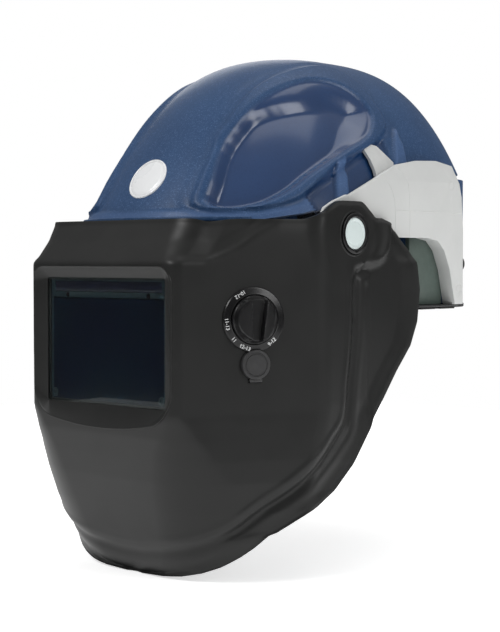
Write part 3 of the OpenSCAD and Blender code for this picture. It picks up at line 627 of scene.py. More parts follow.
def dark_glass(name, colour, other, rough=0.07):
    """Polished dark panel with a slow colour shift, as a coated filter has."""
    material, tree, shader = new_finish(name)
    spread = ramp(tree, noise(tree, 14, 3), 0.3, 0.7)
    tree.links.new(mix_colour(tree, spread, colour, other), shader["Base Color"])
    tree.links.new(plus(tree, times(tree, noise(tree, 40, 4), 0.05), rough), shader["Roughness"])
    shader["Specular IOR Level"].default_value = 0.12
    return material


def cloth(name, colour, threads, strength=0.5, sheen=0.3):
    """Woven cloth, darker between the threads and a little dusty."""
    material, tree, shader = new_finish(name)
    weave = use_group(tree, plain_weave(), Threads=threads)
    dusty = use_group(tree, settled_dust(), Amount=0.15)
    tone = mix_colour(tree, weave["Height"], tuple(c * 0.55 for c in colour), tuple(c * 1.3 for c in colour))
    tone = mix_colour(tree, times(tree, weave["Cloud"], 0.35), tone, tuple(c * 1.7 for c in colour))
    tone = mix_colour(tree, dusty["Mask"], tone, (0.5, 0.5, 0.48))
    tree.links.new(tone, shader["Base Color"])
    shader["Roughness"].default_value = 0.85
    shader["Sheen Weight"].default_value = sheen
    add_bump(tree, weave["Height"], strength, 0.0003)
    return material


def metal(name, colour, rough):
    """Bare metal with a fine uneven polish."""
    material, tree, shader = new_finish(name)
    brushed = noise(tree, 400.0, 6, 0.7)
    tree.links.new(mix_colour(tree, brushed, tuple(c * 0.75 for c in colour), colour), shader["Base Color"])
    shader["Metallic"].default_value = 1.0
    tree.links.new(plus(tree, times(tree, brushed, 0.2), rough - 0.1), shader["Roughness"])
    add_bump(tree, brushed, 0.15, 0.0001)
    return material


def filter_paper(name):
    """Fibrous filter paper."""
    material, tree, shader = new_finish(name)
    fibres = noise(tree, 700, 8, 0.75)
    tree.links.new(mix_colour(tree, fibres, (0.66, 0.64, 0.56), (0.9, 0.89, 0.82)), shader["Base Color"])
    shader["Roughness"].default_value = 0.9
    add_bump(tree, fibres, 0.4, 0.0002)
    return material


# Material slot: the maker of its finish, then the maker's values
FINISHES = {
    "shell_blue": (blue_pearl, {}),
    "badge_white": (moulded, (0.88, 0.89, 0.9), 0.28,
                    dict(grain=0.03, wear=0, dust=0.02, coat=0.6, cloud=0.02)),
    "cover_grey": (moulded, (0.66, 0.67, 0.66), 0.5,
                   dict(grain=0.15, scale=1800.0, wear=0.25, dust=0.03, pale=(0.8, 0.8, 0.79), cloud=0.025)),
    "screw_steel": (metal, (0.5, 0.51, 0.52), 0.35, {}),
    # Painted shade: the inner wall is grey plastic like the covers, given the dark greenish tone it shows in
    # shadow.
    "wall_grey": (moulded, (0.085, 0.115, 0.1), 0.5, dict(grain=0.3, wear=0.2, cloud=0.1)),
    "black_plastic": (moulded, (0.014, 0.014, 0.015), 0.5, dict(grain=0.4, pale=(0.06, 0.06, 0.062))),
    "foot_rubber": (moulded, (0.012, 0.012, 0.012), 0.85, dict(grain=0.6, scale=900.0, wear=0.1)),
    "black_gloss": (moulded, (0.004, 0.004, 0.0045), 0.26,
                    dict(grain=0.05, pale=(0.03, 0.03, 0.03), coat=0.1, specular=0.35)),
    "filter_paper": (filter_paper, {}),
    "seal_foam": (moulded, (0.02, 0.02, 0.02), 0.9, dict(grain=0.9, scale=600.0, wear=0.0)),
    "dark_plastic": (moulded, (0.035, 0.035, 0.038), 0.5, dict(grain=0.35)),
    "fan_plastic": (moulded, (0.55, 0.57, 0.56), 0.45, dict(grain=0.15, wear=0.2)),
    "motor_steel": (metal, (0.5, 0.51, 0.52), 0.3, {}),
    "board_green": (moulded, (0.012, 0.12, 0.05), 0.35, dict(grain=0.2, scale=500.0, pale=(0.3, 0.3, 0.12))),
    "button_rubber": (moulded, (0.02, 0.02, 0.021), 0.7, dict(grain=0.5)),
    "band_plastic": (moulded, (0.017, 0.017, 0.019), 0.42, dict(grain=0.3)),
    "band_foam": (cloth, (0.06, 0.065, 0.07), 90.0, dict(strength=0.6, sheen=0.5)),
    "strap_web": (cloth, (0.032, 0.033, 0.037), 60.0, dict(strength=0.8)),
    "clear_visor": (clear_sheet, (0.93, 0.96, 0.96), {}),
    "seal_cloth": (cloth, (0.035, 0.045, 0.075), 130.0, {}),
    "washer_grey": (moulded, (0.22, 0.23, 0.23), 0.4, dict(grain=0.15)),
    "button_white": (moulded, (0.70, 0.79, 0.78), 0.38,
                     dict(grain=0.05, wear=0.1, dust=0.02, coat=0.2, cloud=0.02)),
    "spring_steel": (metal, (0.6, 0.6, 0.62), 0.25, {}),
    "shield_black": (moulded, (0.0085, 0.0088, 0.0085), 0.42,
                     dict(grain=0.3, scale=1900.0, wear=0.3, dust=0.01, pale=(0.045, 0.047, 0.045),
                          cloud=0.06, specular=0.32)),
    "cover_glass": (clear_sheet, (0.82, 0.9, 0.9), dict(rough=0.0, dust=0.0)),
    "lens_case": (moulded, (0.010, 0.020, 0.026), 0.4, dict(grain=0.1, specular=0.25)),
    "dark_glass": (dark_glass, (0.003, 0.005, 0.014), (0.004, 0.009, 0.016), {}),
    "solar_dark": (dark_glass, (0.009, 0.009, 0.02), (0.014, 0.012, 0.02), dict(rough=0.18)),
    "sensor_red": (dark_glass, (0.004, 0.004, 0.006), (0.012, 0.004, 0.006), dict(rough=0.1)),
    "knob_black": (moulded, (0.006, 0.006, 0.0065), 0.3,
                   dict(grain=0.05, pale=(0.04, 0.04, 0.042), coat=0.15, specular=0.4)),
    "button_black": (moulded, (0.02, 0.02, 0.021), 0.5, dict(grain=0.3, pale=(0.07, 0.07, 0.07))),
    "cable_black": (moulded, (0.015, 0.015, 0.015), 0.55, dict(grain=0.3)),
    "dial_white": (moulded, (0.75, 0.76, 0.76), 0.5, dict(grain=0.05, wear=0, dust=0)),
}
finishes_made = {}


def finish_of(slot):
    """The finish of a material slot, made once."""
    if slot not in finishes_made:
        maker, *values, extra = FINISHES[slot]
        finishes_made[slot] = maker(slot, *values, **extra)
    return finishes_made[slot]


# ---- welding shield -----------------------------------------------------------------

WALL_TURN = math.radians(64.5)
BEND_R = 30.0
PIVOT_Z = 25.0
SHIELD_HALF = 118.5
SHIELD_WALL = 3.0


def shield_plan(z):
    """The shield's plan at height z: its front, its sharp corner, the corner's radius and its side."""
    front = -lookup(z, [(-210, 92), (-200, 97), (-180, 106), (-160, 113), (-140, 119.5), (-125, 123),
                        (-110, 126), (-98, 127), (5, 127), (20, 117.5), (37, 108)])
    corner = lookup(z, [(-210, 62), (-200, 66), (-180, 74), (-160, 77), (-140, 77), (-125, 75.5), (-108, 73),
                        (-95, 72), (5, 72), (9, 70), (20, 69), (37, 71)])
    radius = lookup(z, [(-210, 60), (-180, 62), (-160, 60), (-140, 54), (-120, 40), (-104, 22), (-95, 11),
                        (5, 10), (9, 15), (20, 20), (37, 24)])
    side = SHIELD_HALF - lookup(z, [(-210, 22), (-190, 12), (-160, 6), (-130, 2), (-104, 0.5), (-90, 0)])
    return front, corner, radius, side


def plan_lengths(plan):
    """Lengths along half the plan: flat front, corner, straight cheek and the bend to the side."""
    corner, radius, side = plan[1:]
    flat = corner - radius * math.tan(WALL_TURN / 2)
    turn = radius * WALL_TURN
    across = side - flat - radius * math.sin(WALL_TURN) - BEND_R * (1 - math.sin(WALL_TURN))
    cheek = across / math.cos(WALL_TURN)
    return flat, turn, cheek, BEND_R * (math.pi / 2 - WALL_TURN)


def plan_point(plan, s):
    """Point and heading of the shield's plan at length s from its middle."""
    front, radius = plan[0], plan[2]
    flat, turn, cheek, bend = plan_lengths(plan)
    wall_x, wall_y = math.cos(WALL_TURN), math.sin(WALL_TURN)
    h1 = np.clip((s - flat) / radius, 0, WALL_TURN)
    run = np.clip(s - flat - turn, 0, cheek)
    h2 = WALL_TURN + np.clip((s - flat - turn - cheek) / BEND_R, 0, math.pi / 2 - WALL_TURN)
    rest = np.maximum(0, s - flat - turn - cheek - bend)
    x = np.minimum(s, flat) + radius * np.sin(h1) + run * wall_x + BEND_R * (np.sin(h2) - wall_y)
    y = front + radius * (1 - np.cos(h1)) + run * wall_y + BEND_R * (wall_x - np.cos(h2)) + rest
    return x, y, np.where(s <= flat + turn + cheek, h1, h2)


# Free edge of the chin as (height, plan length), and of the cheek as (height, place along Y)
CHIN_HEIGHT = -176
CHIN_EDGE = [(-209, 8), (-208.2, 28), (-206.5, 44), (-203, 60), (-198, 75), (-191, 90), (-184, 103),
             (CHIN_HEIGHT, 116)]
CHEEK_EDGE = [(-178, -63), (-162, -40), (-149, -17), (-133, 0), (-118, 11), (-103, 22), (-87, 35), (-71, 48),
              (-54, 64), (-37, 72), (-14, 75), (14, 70), (24, 65), (30, 58), (34, 47)]


def free_edge(z):
    """Plan length of the shield's free edge at height z."""
    if z < CHIN_HEIGHT:
        return lookup(z, CHIN_EDGE)
    edge = lookup(z, CHEEK_EDGE)
    s = np.linspace(0, 330, 2400)
    return float(np.interp(edge, plan_point(shield_plan(z), s)[1], s))


# Step line on the shield as (plan length, height): round the pivot, down the cheek, under the chin
STEP_LINE = [(239, 46), (248, 30), (249, 17), (243, 8), (230, 3), (216, 0), (210.5, -5), (209.8, -25),
             (208.5, -47.7), (204.4, -76), (200.6, -101.6), (184.2, -118), (167.6, -130.8), (143, -146.5),
             (118.5, -158.5), (89, -174.3), (54.3, -185.5), (19.4, -191), (0, -192)]


def shield_relief(s, z, y):
    """Height of the moulded relief: channel, bead and step, and the scoops round the pivot."""
    line = rounded(STEP_LINE, closed=False, steps=6)
    # d is the distance from the step line, positive towards the face
    d = outline_distance(s, z, [(-30, 46)] + line + [(-30, -192)])
    # below is 1 under the pivot and 0 round it; fade makes the channel shallower at the chin
    below = smooth((4 - z) / 6) * (1 - smooth((s - 222) / 8))
    fade = 0.35 + 0.65 * smooth((s - 15) / 90)
    valley = -2.6 * np.exp(-((d + 0.5) / 3.2) ** 2)
    bead = 0.7 * np.exp(-((d - 7.2) / 1.7) ** 2)
    ridge = 0.9 * np.exp(-((d + 8.0) / 3.6) ** 2)
    step = -1.6 * smooth((4 - d) / 8)
    channel = (valley + bead + ridge) * below * fade + step * (0.5 + 0.5 * fade)
    near = 1 - below
    rim = 1.1 * np.exp(-((d - 3.0) / 3.0) ** 2) * near * smooth((s - 205) / 12)
    drop = -1.8 * smooth((2 - d) / 6) * near
    r = np.hypot(y, z - PIVOT_Z)
    scoop = -1.5 * np.exp(-((r - 29) / 6.0) ** 2) * smooth((y - 4) / 14) * smooth((z + 6) / 12)
    swell = 0.5 * np.exp(-((r - 21) / 4.0) ** 2) * smooth((y + 6) / 14)
    return channel + rim + drop + scoop + swell


# Height at which the brow starts to lean back, as (plan length, height)
BROW_START = [(0, 5), (92, 5.5), (103, 10), (114, 15), (127, 24), (144, 34)]


def shield_surface(z, share, inset):
    """One level of the shield: a row of points from its right free edge to its left one."""
    edge = free_edge(z)
    s = np.abs(share) * edge
    soft = 0.7 + 3.0 * smooth((s - 90) / 60)
    lean = soft * np.log1p(np.exp((z - lookup(s, BROW_START)) / soft))
    x, y, heading = plan_point(shield_plan(np.where(z > -60, 5 + lean, z)), s)
    flare = 2.5 * (1 - smooth((edge - s) / 20)) * smooth((30 - z) / 30)
    temple = 13 * smooth((y + 45) / 32) * (1 - smooth((y - 5) / 20)) + 2 * smooth((y - 5) / 20)
    brow_dip = 2 * smooth((-80 - y) / 20) * smooth((y + 107) / 9)
    high = z + smooth((z + 5) / 40) * (temple - brow_dip)
    relief = shield_relief(s, np.full_like(s, z), y)
    lip = 0.8 * np.exp(-((edge - s) / 2.2) ** 2) + 0.7 * math.exp(-((34 - z) / 2.0) ** 2)
    out = flare - inset
    # Round the pivot the cheek is flat, so that the boss and the button sit square on it
    pad = np.where(y > -60, 1 - smooth((np.hypot(y, high - PIVOT_Z) - 28) / 14), 0)
    px = x + out * np.sin(heading)
    px = px + pad * (SHIELD_HALF - inset - px)
    lift = relief + (lip if inset == 0 else 0)
    px = px + lift * np.sin(heading)
    py = y - (out + lift) * np.cos(heading)
    return np.stack([np.sign(share) * px, py, high], -1)


def shell_mesh(name, outer, inner, material):
    """Closed shell from two equal grids of points, the outer and the inner side."""
    rows, cols = outer.shape[:2]
    count = rows * cols
    faces = [grid_quads(rows, cols), grid_quads(rows, cols, start=count, flip=True)]
    top, low = np.arange(cols), (rows - 1) * cols + np.arange(cols)
    left, right = np.arange(rows) * cols, np.arange(rows) * cols + cols - 1
    for loop, turn in ((top, 1), (low, -1), (left, -1), (right, 1)):
        quad = np.stack([loop[:-1], count + loop[:-1], count + loop[1:], loop[1:]], -1)
        faces.append(quad[:, ::turn])
    points = np.concatenate([outer.reshape(-1, 3), inner.reshape(-1, 3)])
    return make_piece(name, points, np.concatenate(faces).tolist(), material, outward=True)


def cheek_frame(along, z):
    """Frame on the cheek: +Z out of the face, +X towards the rear, +Y up."""
    plan = shield_plan(z)
    flat, turn = plan_lengths(plan)[:2]
    x, y = plan_point(plan, np.array([flat + turn + along]))[:2]
    c, s = math.cos(WALL_TURN), math.sin(WALL_TURN)
    return Matrix(((c, 0, s, float(x[0])), (s, 0, -c, float(y[0])), (0, 1, 0, z), (0, 0, 0, 1)))


def pivot_frame(side):
    """Frame on a pivot: +Z outwards along the pivot axis."""
    return side_frame(side, 0, PIVOT_Z)


def front_surface_y(x, z):
    """Y of the shield's front at x, z."""
    plan = shield_plan(z)
    front, radius = plan[0], plan[2]
    over = np.clip(np.abs(x) - plan_lengths(plan)[0], 0, radius * math.sin(WALL_TURN))
    return front + radius - np.sqrt(np.maximum(radius ** 2 - over ** 2, 0))


LENS_Y = -121.3
LENS_HALF, LENS_LOW, LENS_TOP = 59.5, -91.0, -5.0


def window_loop(half, top, low, corner, low_corner, bulge):
    """Closed loop in the front view with rounded corners and a bowed lower side."""
    per = 14
    turns = ((1, top, corner, 90), (1, low, low_corner, 0), (-1, low, low_corner, -90),
             (-1, top, corner, -180))
    arcs = []
    for side, level, radius, start in turns:
        cx, cz = side * (half - radius), level + radius * (1 if level == low else -1)
        angles = [math.radians(start - 90 * k / (per - 1)) for k in range(per)]
        arcs.append([(cx + radius * math.cos(a), cz + radius * math.sin(a)) for a in angles])
    out = []
    for k, arc in enumerate(arcs):
        (x0, z0), (x1, z1) = arc[-1], arcs[(k + 1) % 4][0]
        out += arc + [(x0 + (x1 - x0) * t / per, z0 + (z1 - z0) * t / per) for t in range(1, per)]
    return [(x, z - bulge * (1 - (x / half) ** 2) * smooth((low + 40 - z) / 40)) for x, z in out]


def loop_mesh(name, loops, material):
    """Closed ring lofted through loops of equal length, the last joined to the first."""
    n = len(loops[0])
    points = [p for loop in loops for p in loop]
    faces = []
    for i in range(len(loops)):
        j = (i + 1) % len(loops)
        faces += [[i * n + k, i * n + (k + 1) % n, j * n + (k + 1) % n, j * n + k] for k in range(n)]
    return make_piece(name, points, faces, material, sharp=30, outward=True)


def window_outline(grow):
    """The window's outline in the shield, grown all round by grow."""
    return window_loop(70.3 + grow, 3.6 + grow, -98.5 - grow, 12 + grow, 19 + grow, 8.5)


DIAL_PLACE = (49, -32)
GRIND_PLACE = (49, -61.5)


class RESPIRATOR_OT_shield(bpy.types.Operator):
    """Make the welding shield, with its channel, step and pivot bosses"""
    bl_idname = "respirator.shield"
    bl_label = "Welding shield"

    def execute(self, context):
        sizes = context.scene.respirator_sizes
        levels = np.concatenate([np.linspace(34, 28, 7), np.linspace(26.5, -185, 120),
                                 np.linspace(-186, -209, 28)])
        share = np.linspace(-1, 1, 2 * int(sizes.shield_columns) + 1)
        outer = np.stack([shield_surface(float(z), share, 0.0) for z in levels])
        inner = np.stack([shield_surface(float(z), share, SHIELD_WALL) for z in levels])
        black = finish_of("shield_black")
        shield = shell_mesh("shield", outer, inner, black)
        cut(shield, prism("cutter", window_outline(-0.4), 90, 140, front_frame()))
        for side in (1, -1):
            cut(shield, prism("cutter", circle(15.2), 100, 130, pivot_frame(side)))
        cut(shield, prism("cutter", circle(10.25, at=(1, 0)), -10, 10, cheek_frame(*GRIND_PLACE)))
        slot = [(-4.1, -8), (6.1, -8), (5.7, -12.1), (-3.7, -12.1)]
        cut(shield, prism("cutter", slot, -1.6, 4, cheek_frame(*GRIND_PLACE)))
        shade(shield, 35)
        settle(shield, "shield", "shield_black", "weld_shield")
        boss = [(14.08, 115.9), (14.08, 118.2), (14.3, 118.7), (14.8, 118.95), (15.4, 118.9), (15.9, 118.6),
                (16.2, 118.0), (16.2, 115.9), (14.08, 115.9)]
        for side, name in ((1, "left"), (-1, "right")):
            ring = turned("pivot_boss_" + name, boss, pivot_frame(side), black)
            settle(ring, "shield", "shield_black")
        return {"FINISHED"}


class RESPIRATOR_OT_window(bpy.types.Operator):
    """Make the drafted window frame and finish the lens stack behind it"""
    bl_idname = "respirator.window"
    bl_label = "Window and lens"

    def execute(self, context):
        def on_surface(grow, proud):
            return [(x, float(front_surface_y(x, z)) - proud, z) for x, z in window_outline(grow)]

        def at_depth(loop, y):
            return [(x, y, z) for x, z in loop]

        opening = window_loop(LENS_HALF, LENS_TOP, LENS_LOW, 1.6, 1.6, 0)
        wide = window_loop(LENS_HALF + 0.9, LENS_TOP + 0.9, LENS_LOW - 0.9, 2.2, 2.2, 0)
        pocket = window_loop(LENS_HALF + 2.6, LENS_TOP + 2.6, LENS_LOW - 2.6, 2, 2, 0)
        back = window_loop(66.5, 3.0, -99, 7, 7, 0)
        loops = [
            on_surface(-0.35, -1.6), on_surface(-0.35, 0.1), on_surface(-0.5, 0.42), on_surface(-0.95, 0.5),
            on_surface(-1.5, 0.3), on_surface(-2.0, -0.2), at_depth(wide, LENS_Y - 0.85),
            at_depth(opening, LENS_Y - 0.7), at_depth(opening, LENS_Y - 0.06),
            at_depth(pocket, LENS_Y - 0.06), at_depth(pocket, -109.5), at_depth(back, -109.5),
            at_depth(back, -118),
        ]
        window = loop_mesh("window_frame", loops, finish_of("shield_black"))
        settle(window, "shield", "shield_black", "lens_bezel")
        for node, width in (("dark_lens_case", 0.12), ("solar_cell", 0.15), ("lens_clip", 0.5),
                            ("control_box", 1.2)):
            refine(node, width, simplify=False)
        inked = finish_of("lens_case")
        profile = [(0, -0.5), (3.1, -0.5), (3.1, 0.25), (2.8, 0.55), (1.5, 0.55), (1.4, 0.1), (0, 0.05)]
        bosses = [turned("boss", profile, front_frame(x, -119.3, -85.6), inked, 32) for x in (-54, 54.3)]
        corner = join_pieces("lens_corner_bosses", bosses)
        shade(corner)
        settle(corner, "shield", "lens_case")
        return {"FINISHED"}


# ---- controls -------------------------------------------------------------------------

def knob_height(x, y):
    """Height of the shade knob: a sunken channel between a rounded flank and a wedge."""
    r = np.hypot(x, y)
    lean = -0.8 + 0.06 * y
    half = 4.1 + 0.075 * y
    side = x - lean
    left = 13.0 - 8.0 * np.clip((-side - half) / 12.0, 0, 1) ** 1.7
    right = 13.6 - 0.95 * np.clip(side - half, 0, 20)
    channel = 8.6 + 0.02 * r
    h = np.where(side < 0, left, right)
    depth = smooth((half - np.abs(side) + 0.6) / 1.2)
    return h * (1 - depth) + channel * depth


def dial_number(text, angle, dial):
    """One number on the dial's ring, at an angle in degrees round its axis."""
    curve = bpy.data.curves.new("mark", "FONT")
    curve.body = text
    curve.size = 3.5 * MM
    curve.offset = 0.08 * MM
    curve.align_x = "CENTER"
    curve.align_y = "CENTER"
    curve.extrude = 0.06 * MM
    curve.resolution_u = 3
    carrier = new_object("mark", curve)
    graph = bpy.context.evaluated_depsgraph_get()
    mesh = bpy.data.meshes.new_from_object(carrier.evaluated_get(graph), depsgraph=graph)
    bpy.data.objects.remove(carrier)
    a = math.radians(angle)
    spot = Vector((19.25 * math.cos(a), 19.25 * math.sin(a), 1.88)) * MM
    base = dial.copy()
    base.translation = base.translation * MM
    mesh.transform(base @ Matrix.Translation(spot) @ Matrix.Rotation(a + math.pi / 2, 4, "Z"))
    mesh.materials.clear()
    mesh.materials.append(finish_of("dial_white"))
    return new_object("mark", mesh)


class RESPIRATOR_OT_controls(bpy.types.Operator):
    """Make the shade dial with its numbers, the knob and the grind button"""
    bl_idname = "respirator.controls"
    bl_label = "Shade dial and grind button"

    def execute(self, context):
        sizes = context.scene.respirator_sizes
        dial = cheek_frame(*DIAL_PLACE)
        gloss = finish_of("black_gloss")
        radius = sizes.dial_radius / MM
        profile = [(4.6, 0.1), (4.6, 1.0), (16.3, 1.0), (16.45, 2.05), (16.7, 2.3), (17.0, 2.05),
                   (17.3, 1.95), (radius - 1.3, 1.85), (radius - 0.5, 1.6), (radius, 0.9), (radius, 0.1),
                   (4.6, 0.1)]
        ring = turned("dial_ring_fine", profile, dial, gloss, 128)
        cut(ring, prism("cutter", circle(10.3, at=(1, -29.5)), -2, 8, dial))
        shade(ring, 30)
        settle(ring, "shield", "black_gloss", "dial_ring")

        marks = [dial_number(text, angle, dial) for text, angle in
                 (("10-12", 121), ("11-13", 188), ("11", 222), ("12-13", 250), ("9-12", 310))]
        numbers = join_pieces("dial_numbers", marks)
        settle(numbers, "shield", "black_gloss")

        steps, rings = 120, 44
        rr = np.concatenate([np.linspace(0.0, 15.2, rings - 6), [15.5, 15.7, 15.8, 15.8, 15.8, 15.8]])
        aa = np.linspace(0, 2 * np.pi, steps, endpoint=False)
        R, A = np.meshgrid(rr, aa, indexing="ij")
        X, Y = R * np.cos(A), R * np.sin(A)
        H = knob_height(X, Y)
        # The grip dies away towards the rim, which rolls over to the dial
        rim = smooth((15.6 - R) / 2.2)
        H = 3.4 + (H - 3.4) * (0.12 + 0.88 * rim)
        H[-4:, :] = np.minimum(H[-4:, :], np.array([4.4, 3.9, 3.0, 1.7])[:, None])
        local = np.stack([X, Y, H], -1).reshape(-1, 3)
        points = [tuple(dial @ Vector(p)) for p in local]
        quads = grid_quads(rings, steps, wrap=True).tolist()
        quads.append(list(range((rings - 1) * steps, rings * steps)))
        black = finish_of("knob_black")
        knob = make_piece("shade_knob_fine", points, quads, black, sharp=42, outward=True)
        stem = turned("stem", [(0, -12.9), (2.9, -12.9), (2.9, 1.9), (0, 1.9)], dial, black, 32)
        knob = join_pieces("shade_knob_fine", [knob, stem])
        shade(knob, 32)
        settle(knob, "shade_knob", "knob_black", "shade_knob")

        grind = cheek_frame(GRIND_PLACE[0] + 1, GRIND_PLACE[1])
        rubber = finish_of("button_black")
        profile = [(0, -3.4), (9.9, -3.4), (9.95, 2.3), (9.6, 2.85), (9.0, 3.0), (7.9, 3.0), (7.6, 2.6),
                   (7.1, 2.6), (6.8, 2.95), (0, 3.0)]
        button = turned("grind_cap", profile, grind, rubber, 96, sharp=40)
        pull = [(-4.6, -9.0), (4.6, -9.0), (4.2, -11.6), (-4.2, -11.6)]
        tab = prism("tab", pull, 0.25, 2.2, grind, rubber, 0.5)
        button = join_pieces("grind_button_fine", [button, tab])
        shade(button, 40)
        settle(button, "grind_button", "button_black", "grind_button")
        return {"FINISHED"}


# ---- dome ---------------------------------------------------------------------------------

DOME_FRONT, DOME_REAR, DOME_HALF, DOME_RISE, DOME_WALL = 101.0, 193.0, 116.0, 125.0, 3.0
DOME_MID, DOME_BASE, DOME_LEAN = 34.7, 32.6, 32.7
REAR_POWER, FRONT_POWER = 4.84, 2.13
SIDE_POWER, CROWN_POWER = 2.93, 1.05

# Outlines of the dome's relief in the side view, as (Y, Z)
DISH = [(-78, 44), (-71, 60), (-53, 88), (-24, 115), (4, 129), (29, 134), (50, 128), (60, 115), (52, 102),
        (40, 94), (10, 81), (-17, 67), (-36, 55), (-58, 45)]
ARCH = [(-84, 41), (-76, 60), (-62, 81), (-53, 94), (-28, 119), (-5, 134), (19, 143), (44, 148), (60, 146),
        (69, 137), (72, 124), (73, 106), (60, 96), (40, 86), (10, 72), (-14, 60), (-34, 48), (-55, 42)]
HORN = [(82.5, 105), (84, 90), (80, 74), (64, 74), (70, 86), (76, 97)]
RIB = [(5.6, 79), (15.5, 80), (10.6, 55), (8, 40), (-8, 40), (-2, 54)]
BADGE_TILT = math.radians(60)


def dome_edge(y):
    """Height of the dome's lower edge above its base."""
    return lookup(y, [(-60, 0), (-30, 6), (0, 14), (60, 32), (98, 40), (200, 40)])


def dome_base_point(a, rho, inset):
    """Point of the plain dome; a is the turn from the rear, rho runs from crown to base."""
    c, s = np.cos(a), np.sin(a)
    rear = c > 0
    reach = np.where(rear, DOME_REAR - DOME_MID, DOME_MID + DOME_FRONT) - inset
    power = np.where(rear, REAR_POWER, FRONT_POWER)
    r = (np.abs(s / (DOME_HALF - inset)) ** power + np.abs(c / reach) ** power) ** (-1 / power)
    y = DOME_MID + DOME_LEAN * (1 - rho ** 2) + r * c * rho
    z = DOME_BASE + (DOME_RISE - inset) * np.maximum(0, 1 - rho ** SIDE_POWER) ** (1 / CROWN_POWER)
    return np.stack([r * s * rho, y, z], -1)


def dome_relief(y, z):
    """Relief of the dome's side in the side view, with how polished each point is and how much painted
    highlight it gets.
    """
    dish = outline_distance(y, z, rounded(DISH, steps=4))
    arch = outline_distance(y, z, rounded(ARCH, steps=4))
    upper = smooth((z + 0.5 * y - 85) / 45)
    sunk = -7.8 * smooth((dish + 1.6) / (5.0 + 15 * upper))
    raised = 3.0 * smooth((arch + 1.0) / 1.8) * (1 - smooth((dish + 3.0) / 3.0))
    groove = -0.6 * np.exp(-((arch + 2.6) / 1.3) ** 2)
    shoulder = lookup(y, [(-120, 41.5), (-78, 41.5), (-60, 40), (-45, 44), (-30, 50), (-12, 58), (10, 70),
                          (40, 84), (73, 104)])
    below = shoulder - z
    brow = 1.3 * smooth(below / 2.2) * (1 - smooth((y + 52) / 20))
    facet_top = lookup(y, [(-30, 50), (-27.6, 52.5), (5.6, 75.5), (15.5, 79), (41.5, 88), (66, 96)])
    facet = smooth((facet_top - z) / 2.0) * smooth((y + 27.6 - (52 - z) * 0.4) / 1.6)
    facet *= 1 - smooth((y - 62) / 4)
    rib = smooth(outline_distance(y, z, RIB) / 1.2)
    horn = smooth((outline_distance(y, z, HORN) + 0.6) / 2.4)
    relief = sunk + raised + groove + brow - 3.4 * facet * (1 - 0.85 * rib) + 3.2 * horn
    polish = np.clip(smooth((dish + 1.8) / 2.0) + 0.75 * facet * (1 - rib), 0, 1)
    # Painted highlight: paler blue on the band below the shoulder, where it faces up, and on the ribs and the
    # horn.
    lower = smooth(below / 4) * (1 - facet) * (1 - smooth((y - 20) / 60))
    painted_highlight = np.clip(lower + rib * facet + 0.8 * horn, 0, 1)
    return relief, polish, painted_highlight


def outward_normals(grid):
    """Unit normals of a grid whose columns wrap round."""
    down = np.gradient(grid, axis=0)
    wide = np.concatenate([grid[:, -1:], grid, grid[:, :1]], axis=1)
    round_ = np.gradient(wide, axis=1)[:, 1:-1]
    normal = np.cross(round_, down)
    normal /= np.maximum(np.linalg.norm(normal, axis=-1, keepdims=True), 1e-9)
    outward = (normal * (grid - [0, DOME_MID, 0])).sum(-1).mean()
    return normal * np.sign(outward)


def dome_surface(a, rho, inset):
    """Dome points with their relief; a is the turn from the rear, rho runs from crown to edge."""
    near_edge = dome_base_point(a, np.full_like(a, 0.97), 0)[..., 1]
    reach = (1 - (dome_edge(near_edge) / DOME_RISE) ** CROWN_POWER) ** (1 / SIDE_POWER)
    base = dome_base_point(a, rho * reach, inset)
    relief, polish, painted_highlight = dome_relief(base[..., 1], base[..., 2])
    side = smooth(np.abs(base[..., 0]) / 42)
    if inset:
        relief = np.minimum(relief, 0) * 1.05
    relief = np.where(relief > 0, relief * 0.8, relief)
    base += outward_normals(base) * (relief * side)[..., None]
    return base, polish * side, painted_highlight


